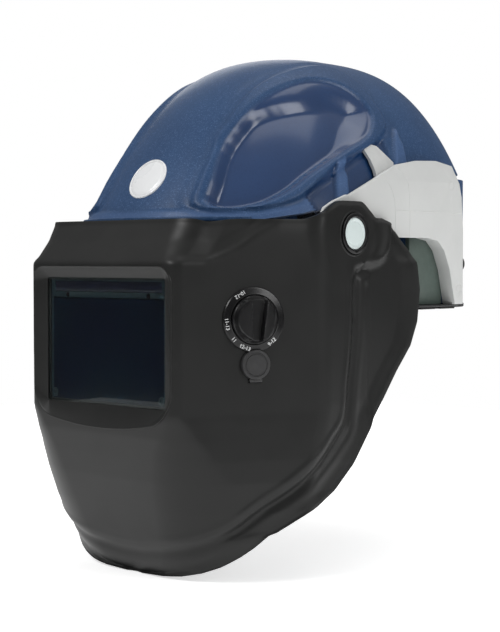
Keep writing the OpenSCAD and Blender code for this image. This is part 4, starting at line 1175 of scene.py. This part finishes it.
class RESPIRATOR_OT_dome(bpy.types.Operator):
    """Make the hard-hat dome with its side dishes, arches and ribs, and the plain badge"""
    bl_idname = "respirator.dome"
    bl_label = "Dome"

    def execute(self, context):
        turns, rings, inner_rings = 440, 150, 64
        uniform = np.linspace(0, 2 * np.pi, turns, endpoint=False)
        a = uniform - 0.10 * np.sin(2 * uniform)
        even = np.linspace(0.03, 1, rings)
        v = np.clip(np.sin(even * np.pi / 2) * 0.72 + even * 0.28, 0, 1)
        A, V = np.meshgrid(a, v)
        outer, polish, painted_highlight = dome_surface(A, V, 0.0)
        pick = np.linspace(0, rings - 1, inner_rings).round().astype(int)
        inner = dome_surface(A[pick], V[pick], DOME_WALL)[0]
        mid = (outer[-1] + inner[-1]) / 2 + [0, 0, -0.9]
        rows = np.concatenate([outer, mid[None], inner[::-1]])
        count, cols = rows.shape[:2]
        faces = grid_quads(count, cols, wrap=True).tolist()
        points = rows.reshape(-1, 3).tolist()
        crown = len(points)
        points += [outer[0].mean(0).tolist(), inner[0].mean(0).tolist()]
        points[crown][2] += 0.35
        points[crown + 1][2] += 0.35
        faces += [[crown, (k + 1) % cols, k] for k in range(cols)]
        last = (count - 1) * cols
        faces += [[crown + 1, last + k, last + (k + 1) % cols] for k in range(cols)]
        dome = make_piece("dome", points, faces, None)
        mesh = dome.data
        filler = np.zeros(len(points) - outer.shape[0] * cols)
        # The second layer is the painted highlight that pales the blue.
        for name, values in (("polish", polish), ("painted_highlight", painted_highlight)):
            layer = mesh.attributes.new(name, "FLOAT", "POINT")
            layer.data.foreach_set("value", np.concatenate([values.reshape(-1), filler]).astype(np.float32))
        tidy_normals(mesh, merge=False)
        shade(dome, 60)
        mesh.materials.append(finish_of("shell_blue"))
        settle(dome, "helmet", "shell_blue", "helmet_shell")

        tilt = Matrix.Translation((3, -86.0, 64.0)) @ Matrix.Rotation(BADGE_TILT, 4, "X")
        profile = [(0.0, 1.9), (4, 1.88), (8, 1.8), (12, 1.65), (13.9, 1.5), (14.2, 1.2), (14.5, 1.2),
                   (14.8, 1.6), (15.4, 1.7), (15.9, 1.35), (16.0, 0.6), (16.0, -1.6)]
        steps = 96
        turns, heights = np.linspace(np.pi - 0.45, np.pi + 0.45, 91), np.linspace(0.7, 0.999, 120)
        table = dome_base_point(*np.meshgrid(turns, heights, indexing="ij"), 0.0).reshape(-1, 3)
        points = []
        for r, h in profile:
            for k in range(steps):
                b = 2 * math.pi * k / steps
                p = tilt @ Vector((r * math.cos(b), r * math.sin(b), 0))
                points.append(self.onto_dome(p, h - 0.6, table))
        rows = len(profile)
        faces = grid_quads(rows, steps, wrap=True).tolist() + [list(range((rows - 1) * steps, rows * steps))]
        badge = make_piece("badge_fine", points, faces, finish_of("badge_white"), sharp=50, outward=True)
        settle(badge, "helmet", "badge_white", "badge")
        refine("brow_trim", 0.7)
        return {"FINISHED"}

    @staticmethod
    def onto_dome(p, proud, table):
        """Point of the dome under p along the badge's tilt, stood off by proud; table holds dome points."""
        normal = np.array([0.03, -math.sin(BADGE_TILT), math.cos(BADGE_TILT)])
        offset = table - np.array(p)
        along = offset @ normal
        across = np.linalg.norm(offset - along[:, None] * normal, axis=1)
        near = np.argsort(across)[:6]
        weight = 1 / (across[near] + 0.05)
        reach = float((along[near] * weight).sum() / weight.sum())
        return tuple(np.array(p) + normal * (reach + proud))


# ---- covers and rear unit --------------------------------------------------------------------

# Mould lines and front tip of the side covers in the side view, as (Y, Z)
COVER_SEAMS = ([(38, 66), (46, 60), (51, 52), (53, 40), (53, 24)],
               [(58, 73.5), (66, 66), (69, 56), (70, 42), (70, 24)],
               [(53, 42), (70, 42), (112, 42), (134, 42)])
COVER_TIP = [(-16, 31), (-27, 31), (-29, 36), (-25, 42.4), (-16, 46.8), (-2, 51.5), (3, 51.5), (3, 46),
             (-8, 38)]


class RESPIRATOR_OT_covers(bpy.types.Operator):
    """Make the grey side covers with their mould lines, fins and screw caps"""
    bl_idname = "respirator.covers"
    bl_label = "Side covers"

    def execute(self, context):
        grey = finish_of("cover_grey")
        for side, name in ((1, "left"), (-1, "right")):
            node = "side_cover_" + name
            cover = from_node(node, "cover_" + name)
            cover.data.materials.append(grey)
            bevelled(cover, 1.1, 3, 35)
            seams = [self.seam(rounded(path, closed=False, steps=6), side, grey) for path in COVER_SEAMS]
            fin = self.fin(side, grey)
            tip = prism("tip", COVER_TIP, 110.4, 112.9, side_frame(side), grey, 0.6)
            cover = join_pieces("cover_" + name, [cover, fin, tip] + seams)
            shade(cover, 40)
            settle(cover, "helmet", "cover_grey", node)
        profile = [(0, 109.5), (2.98, 109.5), (2.98, 112.85), (2.8, 113.0), (0, 113.02)]
        caps = [turned("cap", profile, side_frame(side, y, z), grey, 40)
                for side in (1, -1) for y, z in ((121, 62), (131, -14))]
        settle(join_pieces("screw_caps", caps), "helmet", "cover_grey", "cover_screws")
        # The inner wall's dark finish is painted shade.
        refine("inner_wall", 0.6)
        return {"FINISHED"}

    @staticmethod
    def cover_x(z):
        """Half width of the cover's outer face at height z."""
        return 113 if z <= 64 else 113 - (z - 64) / 3

    def seam(self, line, side, material):
        """A fine raised mould line on the cover."""
        points = []
        for i, (y, z) in enumerate(line):
            y1, z1 = line[min(i + 1, len(line) - 1)]
            y0, z0 = line[max(i - 1, 0)]
            length = math.hypot(y1 - y0, z1 - z0)
            ny, nz = -(z1 - z0) / length, (y1 - y0) / length
            x = self.cover_x(z)
            for off, up in ((-0.55, -0.3), (-0.28, 0.16), (0.28, 0.16), (0.55, -0.3)):
                points.append((side * (x + up), y + ny * off, z + nz * off))
        return make_piece("seam", points, tube_faces(len(line), 4), material, outward=True)

    def fin(self, side, material):
        """The part of the cover that shows through the notch under the dome's horn."""
        outline = [(40.5, 66), (40.9, 70), (39.5, 78), (36.5, 84.2), (36.9, 85.6), (42, 88.3), (47, 89.1),
                   (52, 88.4), (58, 83.5), (66.5, 76.5), (66.5, 70)]
        n = len(outline)
        points = [(side * (dome_side_x(y, z) + proud), y, z) for proud in (0.4, -2.2) for y, z in outline]
        cy, cz = (sum(values) / n for values in zip(*outline))
        points += [(side * (dome_side_x(cy, cz) + proud), cy, cz) for proud in (0.5, -2.2)]
        faces = []
        for i in range(n):
            after = (i + 1) % n
            faces += [[i, after, n + after, n + i], [2 * n, i, after], [2 * n + 1, n + after, n + i]]
        return make_piece("fin", points, faces, material, outward=True)


def dome_side_x(y, z):
    """Half width of the plain dome at a place in the side view."""
    rise = min(max((z - DOME_BASE) / DOME_RISE, 0.0), 1.0)
    rho = (1 - rise ** CROWN_POWER) ** (1 / SIDE_POWER)
    mid = DOME_MID + DOME_LEAN * (1 - rho ** 2)
    reach = (DOME_REAR - DOME_MID if y > mid else DOME_MID + DOME_FRONT) * rho
    power = REAR_POWER if y > mid else FRONT_POWER
    share = min(abs(y - mid) / max(reach, 1e-6), 1.0)
    return DOME_HALF * rho * (1 - share ** power) ** (1 / power)


# Radius of the moulded edges of the rear unit's nodes
REAR_EDGES = dict(rear_housing=1.5, filter_door=0.7, door_latch=0.5, base_tray=0.6, feet=0.5, filter_pack=0.2,
                  filter_seal=0.6, blower_case=0.8, impeller=0.15, blower_motor=0.5, battery_pack=1.5,
                  control_board=0.2, power_button=0.9, charge_socket=0.4, air_duct=1.0, air_diffuser=0.8)


class RESPIRATOR_OT_rear_unit(bpy.types.Operator):
    """Make the rear housing, filter door, tray and the blower parts inside"""
    bl_idname = "respirator.rear_unit"
    bl_label = "Rear unit"

    def execute(self, context):
        for node, width in REAR_EDGES.items():
            refine(node, width)
        return {"FINISHED"}


class RESPIRATOR_OT_pivots(bpy.types.Operator):
    """Make the pivot hubs, washers, release buttons and their springs"""
    bl_idname = "respirator.pivots"
    bl_label = "Pivots"

    def execute(self, context):
        for side, name in ((1, "left"), (-1, "right")):
            for node, width in (("hub_", 0.5), ("washer_", 0.25)):
                refine(node + name, width)
            profile = [(0, 115.6), (10.9, 115.6), (10.95, 118.7), (10.6, 119.2), (10.1, 119.4), (9.3, 119.4),
                       (8.95, 119.15), (8.6, 118.95), (8.2, 118.95), (7.8, 119.1), (7.3, 119.15), (0, 119.3)]
            white = finish_of("button_white")
            cap = turned("release_cap_" + name, profile, pivot_frame(side), white, 96, sharp=50)
            settle(cap, "release_" + name, "button_white", "release_" + name)
            self.coil(side, name)
        return {"FINISHED"}

    @staticmethod
    def coil(side, name):
        """A coil spring under the button."""
        turns, per, wire, radius = 3.2, 28, 0.5, 6.0
        count = int(turns * per)
        points = []
        for k in range(count + 1):
            a = 2 * math.pi * k / per
            x = 109.7 + 3.3 * k / count
            for j in range(8):
                b = 2 * math.pi * j / 8
                r = radius + wire * math.cos(b)
                points.append((side * (x + wire * math.sin(b)), r * math.cos(a), PIVOT_Z + r * math.sin(a)))
        steel = finish_of("spring_steel")
        spring = make_piece("coil_" + name, points, tube_faces(count + 1, 8), steel, outward=True)
        settle(spring, "helmet", "spring_steel", "spring_" + name)


# ---- headgear ---------------------------------------------------------------------------------

BAND_HALF, BAND_FRONT, BAND_STRAIGHT = 77.0, 78.0, 34.0
CROWN_BASE = 14
UV_SCALE = 0.01


def lay_uv(piece, path, section, width):
    """UV of a band lofted along path: its length one way, its width the other."""
    layer = piece.data.uv_layers.new(name="UVMap")
    lengths = np.concatenate([[0], np.cumsum(np.linalg.norm(np.diff(path, axis=0), axis=1))])
    for loop in piece.data.loops:
        i, j = divmod(loop.vertex_index, len(section))
        along = lengths[min(i, len(path) - 1)]
        layer.data[loop.index].uv = (along * UV_SCALE, section[j][0] * width / 2 * UV_SCALE)


def strap_mesh(name, path, normals, across, width, thick, material):
    """A flat band along a path: closed, with softly rounded edges."""
    path, normals, across = (np.array(v, float) for v in (path, normals, across))
    face = [(-0.9 + 1.8 * k / 6, 1.0) for k in range(7)]
    back = [(-u, -h) for u, h in face]
    section = [(-1, 0.0), (-0.97, 0.75)] + face
    section += [(0.97, 0.75), (1, 0.0), (0.97, -0.75)] + back + [(-0.97, -0.75)]
    points = []
    for i in range(len(path)):
        for u, h in section:
            points.append(path[i] + across[i] * u * width / 2 + normals[i] * (h * thick / 2))
    faces = tube_faces(len(path), len(section))
    piece = make_piece(name, points, faces, material, sharp=50, outward=True)
    lay_uv(piece, path, section, width)
    return piece


def puff(piece, pressure, cap_mm):
    """Swells a pad with cloth pressure, its points kept within cap_mm of where they were."""
    scene = bpy.context.scene
    frames = 14
    modifier = piece.modifiers.new("puff", "CLOTH")
    settings = modifier.settings
    settings.quality = 5
    settings.mass = 0.15
    settings.tension_stiffness = 12
    settings.compression_stiffness = 12
    settings.bending_stiffness = 0.4
    settings.use_pressure = True
    settings.uniform_pressure_force = pressure
    settings.effector_weights.gravity = 0
    modifier.collision_settings.use_collision = False
    modifier.point_cache.frame_start = 1
    modifier.point_cache.frame_end = frames
    before = np.zeros(len(piece.data.vertices) * 3)
    piece.data.vertices.foreach_get("co", before)
    for number in range(1, frames + 1):
        scene.frame_set(number)
    graph = bpy.context.evaluated_depsgraph_get()
    mesh = bpy.data.meshes.new_from_object(piece.evaluated_get(graph), depsgraph=graph)
    after = np.zeros(len(mesh.vertices) * 3)
    mesh.vertices.foreach_get("co", after)
    bpy.data.meshes.remove(mesh)
    piece.modifiers.clear()
    move = (after - before).reshape(-1, 3)
    length = np.linalg.norm(move, axis=1, keepdims=True)
    limit = cap_mm * MM
    move *= np.where(length > 1e-12, limit * np.tanh(length / limit) / np.maximum(length, 1e-12), 0)
    piece.data.vertices.foreach_set("co", (before.reshape(-1, 3) + move).reshape(-1))
    piece.data.update()
    scene.frame_set(1)
    return piece


def pad_mesh(name, path, normals, across, width, thick, material, channels):
    """A soft pad along a path, thin at its sewn edge, crowned in the middle, with sewn channels."""
    n, rows = len(path), 14
    path, normals, across = (np.array(v, float) for v in (path, normals, across))
    loop = [(-1 + 2 * k / rows, 1) for k in range(rows + 1)]
    loop += [(1 - 2 * k / rows, -1) for k in range(1, rows)]
    points = []
    for i in range(n):
        t = i / (n - 1)
        ends = min(1.0, (min(t, 1 - t) * (n - 1) / 3.0)) ** 0.5
        swell = abs(math.sin(math.pi * ((t * channels) % 1.0)))
        seam = 0.62 + 0.38 * min(1.0, swell * 2.4) ** 0.6
        pull = 1 - 0.02 * swell
        for u, h in loop:
            body = max(0.0, 1 - abs(u) ** 3.2) ** 0.5
            half = thick / 2 * (0.16 + 0.84 * body * seam) * (0.25 + 0.75 * ends)
            points.append(path[i] + across[i] * u * width / 2 * pull + normals[i] * h * half)
    piece = make_piece(name, points, tube_faces(n, len(loop)), material, sharp=70, outward=True)
    lay_uv(piece, path, loop, width)
    return piece


def flat_frame(path):
    """Side and up directions of a level path in the plan."""
    path = np.array(path, float)
    run = np.gradient(path, axis=0)
    run[:, 2] = 0
    run /= np.linalg.norm(run, axis=1, keepdims=True)
    out = np.stack([run[:, 1], -run[:, 0], np.zeros(len(path))], -1)
    return out, np.tile([0.0, 0.0, 1.0], (len(path), 1))


def finish_pad(piece, body, slot, node, pressure, cap_mm):
    """Swells and smooths a pad and hands it to the frame."""
    puff(piece, pressure, cap_mm)
    modifier = piece.modifiers.new("soft", "SUBSURF")
    modifier.levels = modifier.render_levels = 1
    apply_modifiers(piece)
    shade(piece, 80)
    settle(piece, body, slot, node)
    return piece


class RESPIRATOR_OT_headgear(bpy.types.Operator):
    """Make the headband, nape band, straps, pads and the ratchet"""
    bl_idname = "respirator.headgear"
    bl_label = "Headgear"

    def execute(self, context):
        plastic = finish_of("band_plastic")
        a = np.radians(np.linspace(-90, 90, 61))
        rx, ry = BAND_HALF + 1, BAND_FRONT + 1
        straight = (BAND_STRAIGHT, 25, 16, 8)
        bow = [(rx * math.sin(t), -ry * math.cos(t), 2) for t in a]
        path = [(-rx, y, 2) for y in straight] + bow + [(rx, y, 2) for y in straight[::-1]]
        out, up = flat_frame(path)
        band = strap_mesh("headband_fine", path, out, up, 30, 2, plastic)
        settle(band, "helmet", "band_plastic", "headband")

        foam = finish_of("band_foam")
        t = np.radians(np.linspace(-62, 62, 73))
        path = [((BAND_HALF - 3) * math.sin(k), -(BAND_FRONT - 3) * math.cos(k), 2) for k in t]
        out, up = flat_frame(path)
        sweat = pad_mesh("sweatband_fine", path, out, up, 35, 4.2, foam, channels=9)
        finish_pad(sweat, "helmet", "band_foam", "sweatband", 1.2, 0.5)
        edge = [tuple(np.array(p) - o * 2.3 + [0, 0, 13.5]) for p, o in zip(path, out)]
        thread = repeated("sweatband_stitches", edge, stitch_item(2.4, 0.5), 64, finish_of("strap_web"))
        settle(thread, "helmet", "band_foam")

        arm = BAND_HALF + 3.6
        nape = [(-arm, 16, 0), (-arm, 28, 0), (-arm, 40, 0)]
        for i in range(1, 48):
            k = math.radians(-90 + 180 * i / 48)
            nape.append((arm * math.sin(k), 46 + 58 * math.cos(k), -50 * float(smooth(math.cos(k) * 1.1))))
        nape += [(arm, 40, 0), (arm, 28, 0), (arm, 16, 0)]
        out, up = flat_frame(nape)
        band = strap_mesh("nape_band_fine", nape, out, up, 22, 2, plastic)
        settle(band, "nape", "band_plastic", "nape_band")
        # The pad lies inside the middle third of the nape band
        run = [tuple(np.array(p) + [0, -3.6, 0]) for p in nape[17:34]]
        run = rounded(run, closed=False, steps=3)
        out, up = flat_frame(run)
        pad = pad_mesh("nape_pad_fine", run, out, up, 27, 3.8, foam, channels=3)
        finish_pad(pad, "nape", "band_foam", "nape_pad", 1.2, 0.4)

        web = finish_of("strap_web")
        for mid, name in ((2, "front"), (23.5, "rear")):
            k = np.radians(np.linspace(-90, 90, 73))
            path = [((BAND_HALF - 1.2) * math.sin(q), mid, CROWN_BASE + 97.2 * math.cos(q)) for q in k]
            normal = [(math.sin(q), 0, math.cos(q)) for q in k]
            across = [(0, 1, 0)] * len(path)
            strap = strap_mesh("crown_strap_" + name + "_web", path, normal, across, 19.6, 1.4, web)
            settle(strap, "helmet", "strap_web", "crown_strap_" + name)
            for off in (-7.5, 7.5):
                places = zip(path[4:-4], normal[4:-4])
                line = [(x + 0.75 * n[0], y + off, z + 0.75 * n[2]) for (x, y, z), n in places]
                seam = repeated("strap_seam_%s_%d" % (name, off > 0), line, stitch_item(2.6, 0.4), 78, foam)
                settle(seam, "helmet", "strap_web")
        k = np.radians(np.linspace(-27, 27, 31))
        path = [(72.4 * math.sin(q), 13, CROWN_BASE + 93.4 * math.cos(q)) for q in k]
        normal = [(math.sin(q), 0, math.cos(q)) for q in k]
        across = [(0, 1, 0)] * len(path)
        crown = pad_mesh("crown_pad_fine", path, normal, across, 49, 4.4, foam, channels=3)
        finish_pad(crown, "helmet", "band_foam", "crown_pad", 1.2, 0.4)

        refine("band_hangers", 0.6)
        refine("ratchet_case", 1.2)
        # Frame on the ratchet, with +Z towards the rear
        knob_at = Matrix(((1, 0, 0, 0), (0, 0, 1, 0), (0, -1, 0, -50), (0, 0, 0, 1)))
        dark = finish_of("dark_plastic")
        profile = [(0, 106.5), (3.9, 106.5), (3.9, 113.4), (15.0, 113.4), (15.8, 114.2), (15.8, 122.8),
                   (14.6, 124.1), (13.0, 124.4), (11.0, 123.4), (6.5, 122.9), (0, 122.8)]
        knob = turned("knob_core", profile, knob_at, dark, 96, sharp=40)
        turn = np.linspace(0, 2 * np.pi, 72, endpoint=False)
        ring = [(15.7 * math.cos(q), 118.4, -50 + 15.7 * math.sin(q)) for q in turn]
        ribs = repeated("ribs", ring, self.rib(), 36, dark, up=(0, 1, 0), closed=True)
        knob = join_pieces("ratchet_knob_fine", [knob, ribs])
        shade(knob, 40)
        settle(knob, "ratchet_knob", "dark_plastic", "ratchet_knob")
        return {"FINISHED"}

    @staticmethod
    def rib():
        """One grip rib, its length along Z."""
        outline = [(-0.75, -0.4), (0.75, -0.4), (0.5, 0.75), (0.2, 1.0), (-0.2, 1.0), (-0.5, 0.75)]
        return prism("rib", outline, -4.0, 4.0)


class RESPIRATOR_OT_visor(bpy.types.Operator):
    """Make the visor frame and the cloth face seal"""
    bl_idname = "respirator.visor"
    bl_label = "Visor and face seal"

    def execute(self, context):
        refine("visor_frame", 0.5, angle=50)
        rows, cols = 34, 181
        v = np.linspace(0, 1, rows)[:, None]
        j = np.linspace(0, 1, cols)[None, :]
        a = np.radians(-95 + 190 * j)
        loose = smooth(v * 1.4)
        gather = 0.9 * np.sin(j * 2 * np.pi * 26) * loose
        gather = gather + 0.5 * np.sin(j * 2 * np.pi * 41 + 1.1) * loose * (1 - 0.4 * v)
        belly = 1.6 * np.sin(np.pi * v)
        x = (82.5 - 20 * v - 0.7 + gather + belly) * np.sin(a)
        y = -20 + 10 * v - (82.5 - 12 * v - 0.7 + gather + belly) * np.cos(a)
        z = (-94.2 - 66 * v) * np.ones_like(a)
        grid = np.stack([x, y, z], -1)
        blue = finish_of("seal_cloth")
        faces = grid_quads(rows, cols).tolist()
        seal = make_piece("face_seal_cloth", grid.reshape(-1, 3), faces, blue, sharp=80)
        flat_w = float(np.linalg.norm(np.diff(grid[rows // 2], axis=0), axis=1).sum())
        flat_l = float(np.linalg.norm(np.diff(grid[:, cols // 2], axis=0), axis=1).sum())
        layer = seal.data.uv_layers.new(name="UVMap")
        for loop in seal.data.loops:
            i, k = divmod(loop.vertex_index, cols)
            layer.data[loop.index].uv = (flat_w * k / cols * UV_SCALE, flat_l * i / rows * UV_SCALE)
        modifier = seal.modifiers.new("cloth", "SOLIDIFY")
        modifier.thickness = 0.7 * MM
        modifier.offset = 0
        apply_modifiers(seal)
        shade(seal, 60)
        settle(seal, "helmet", "seal_cloth", "face_seal")
        edge = grid[-1][::2]
        turns = np.radians(np.linspace(-95, 95, len(edge)))
        hem_path = [tuple(p + [0, -0.5 * math.cos(b), 3.0]) for p, b in zip(edge, turns)]
        hem = repeated("face_seal_stitches", hem_path, stitch_item(2.6, 0.5), 84, finish_of("strap_web"))
        settle(hem, "helmet", "seal_cloth")
        return {"FINISHED"}


class RESPIRATOR_OT_nodes(bpy.types.Operator):
    """Give every CAD node that stays in view its moulded or machined finish"""
    bl_idname = "respirator.nodes"
    bl_label = "Finishes of the CAD nodes"

    def execute(self, context):
        for node, piece in NODES.items():
            if node not in SLOT_OF:
                raise RuntimeError("no material slot for " + node)
            piece.data.materials.clear()
            piece.data.materials.append(finish_of(SLOT_OF[node]))
        return {"FINISHED"}


# ---- stage -----------------------------------------------------------------------------------------

CAMERA_AT = (0.749609, -0.781106, 0.006595)


def area_light(name, at, target, size, power):
    """A rectangular studio lamp that faces target."""
    lamp = bpy.data.lights.new(name, "AREA")
    lamp.shape = "RECTANGLE"
    lamp.size, lamp.size_y = size
    lamp.energy = power
    carrier = new_object(name, lamp)
    carrier.location = at
    carrier.rotation_euler = (Vector(target) - Vector(at)).to_track_quat("-Z", "Y").to_euler()
    return carrier


class RESPIRATOR_OT_stage(bpy.types.Operator):
    """Set the camera, the floor and the studio light"""
    bl_idname = "respirator.stage"
    bl_label = "Stage"

    def execute(self, context):
        stage = context.scene.respirator_stage
        lens = bpy.data.cameras.new("camera")
        lens.lens = stage.focal
        lens.sensor_width = 36
        lens.clip_start = 0.02
        lens.clip_end = 50
        camera = new_object("camera", lens)
        camera.location = CAMERA_AT
        camera.rotation_euler = (math.radians(90) - stage.pitch, 0, stage.azimuth)
        context.scene.camera = camera

        half = 1000.0
        corners = [(x * half, y * half, FLOOR_Z * 1000) for x, y in ((-1, -1), (1, -1), (1, 1), (-1, 1))]
        floor = make_piece("floor", corners, [[0, 1, 2, 3]], None)
        paper, tree, shader = new_finish("floor_paper")
        tone = mix_colour(tree, noise(tree, 3, 3), (0.93, 0.93, 0.93), (0.95, 0.95, 0.95))
        tree.links.new(tone, shader["Base Color"])
        shader["Roughness"].default_value = 0.9
        shader["Emission Color"].default_value = (1, 1, 1, 1)
        shader["Emission Strength"].default_value = 0.55
        floor.data.materials.append(paper)

        world = bpy.data.worlds.new("studio")
        context.scene.world = world
        world.use_nodes = True
        tree = world.node_tree
        sky = tree.nodes["Background"]
        split = tree.nodes.new("ShaderNodeSeparateXYZ")
        tree.links.new(tree.nodes.new("ShaderNodeTexCoord").outputs["Generated"], split.inputs[0])
        above = ramp(tree, split.outputs["Z"], 0.05, 0.95)
        # The surroundings are white to the camera and dim to the object, darkest near the horizon
        light = mix_colour(tree, above, (stage.horizon,) * 3, (stage.ambient,) * 3)
        seen = tree.nodes.new("ShaderNodeLightPath").outputs["Is Camera Ray"]
        tree.links.new(mix_colour(tree, seen, light, (1.0, 1.0, 1.0)), sky.inputs["Color"])
        sky.inputs["Strength"].default_value = 1.0
        middle = (0, 0.02, 0)
        area_light("key", (-0.35, -1.5, 1.25), middle, (0.8, 0.6), 14)
        area_light("side", (1.9, 0.3, 0.75), middle, (0.6, 1.0), 10)
        area_light("top", (0.2, 0.4, 1.7), (0, 0.1, 0), (1.2, 1.2), 6)
        area_light("rear", (-1.4, 1.2, 0.8), middle, (0.8, 1.0), 6)
        context.scene.view_settings.view_transform = "Standard"
        return {"FINISHED"}


# ---- settings and panel -------------------------------------------------------------------------------

class RespiratorSizes(bpy.types.PropertyGroup):
    dial_radius: bpy.props.FloatProperty(
        name="Dial radius", description="Outer radius of the shade dial",
        default=0.0215, min=0.018, max=0.0215, unit="LENGTH")
    shield_columns: bpy.props.IntProperty(
        name="Shield columns", description="Columns of faces on each half of the shield",
        default=150, min=40, max=160)


class RespiratorStage(bpy.types.PropertyGroup):
    focal: bpy.props.FloatProperty(
        name="Focal length", description="Camera focal length", default=83.74, unit="CAMERA")
    azimuth: bpy.props.FloatProperty(
        name="Azimuth", description="Camera turn from straight ahead",
        default=math.radians(43), subtype="ANGLE")
    pitch: bpy.props.FloatProperty(
        name="Pitch", description="Camera tilt below level", default=math.radians(2.16), subtype="ANGLE")
    ambient: bpy.props.FloatProperty(
        name="Ambient", description="Light of the surroundings overhead", default=0.6, min=0, max=3)
    horizon: bpy.props.FloatProperty(
        name="Horizon", description="Light of the surroundings near the ground", default=0.12, min=0, max=3)


STEPS = ("nodes", "shield", "window", "controls", "dome", "covers", "rear_unit", "pivots", "headgear",
         "visor", "stage")


class RESPIRATOR_PT_panel(bpy.types.Panel):
    """Sidebar list of the pieces"""
    bl_label = "Respirator"
    bl_idname = "RESPIRATOR_PT_panel"
    bl_space_type = "VIEW_3D"
    bl_region_type = "UI"
    bl_category = "Respirator"

    def draw(self, context):
        layout = self.layout
        for group in (context.scene.respirator_sizes, context.scene.respirator_stage):
            for name in group.__annotations__:
                layout.prop(group, name)
        for step in STEPS:
            layout.operator("respirator." + step)


CLASSES = (RespiratorSizes, RespiratorStage, RESPIRATOR_OT_nodes, RESPIRATOR_OT_shield, RESPIRATOR_OT_window,
           RESPIRATOR_OT_controls, RESPIRATOR_OT_dome, RESPIRATOR_OT_covers, RESPIRATOR_OT_rear_unit,
           RESPIRATOR_OT_pivots, RESPIRATOR_OT_headgear, RESPIRATOR_OT_visor, RESPIRATOR_OT_stage,
           RESPIRATOR_PT_panel)


def register():
    for cls in CLASSES:
        bpy.utils.register_class(cls)
    bpy.types.Scene.respirator_sizes = bpy.props.PointerProperty(type=RespiratorSizes)
    bpy.types.Scene.respirator_stage = bpy.props.PointerProperty(type=RespiratorStage)


def unregister():
    del bpy.types.Scene.respirator_stage
    del bpy.types.Scene.respirator_sizes
    for cls in reversed(CLASSES):
        bpy.utils.unregister_class(cls)


def main():
    register()
    for step in STEPS:
        getattr(bpy.ops.respirator, step)()


if __name__ == "__main__":
    main()
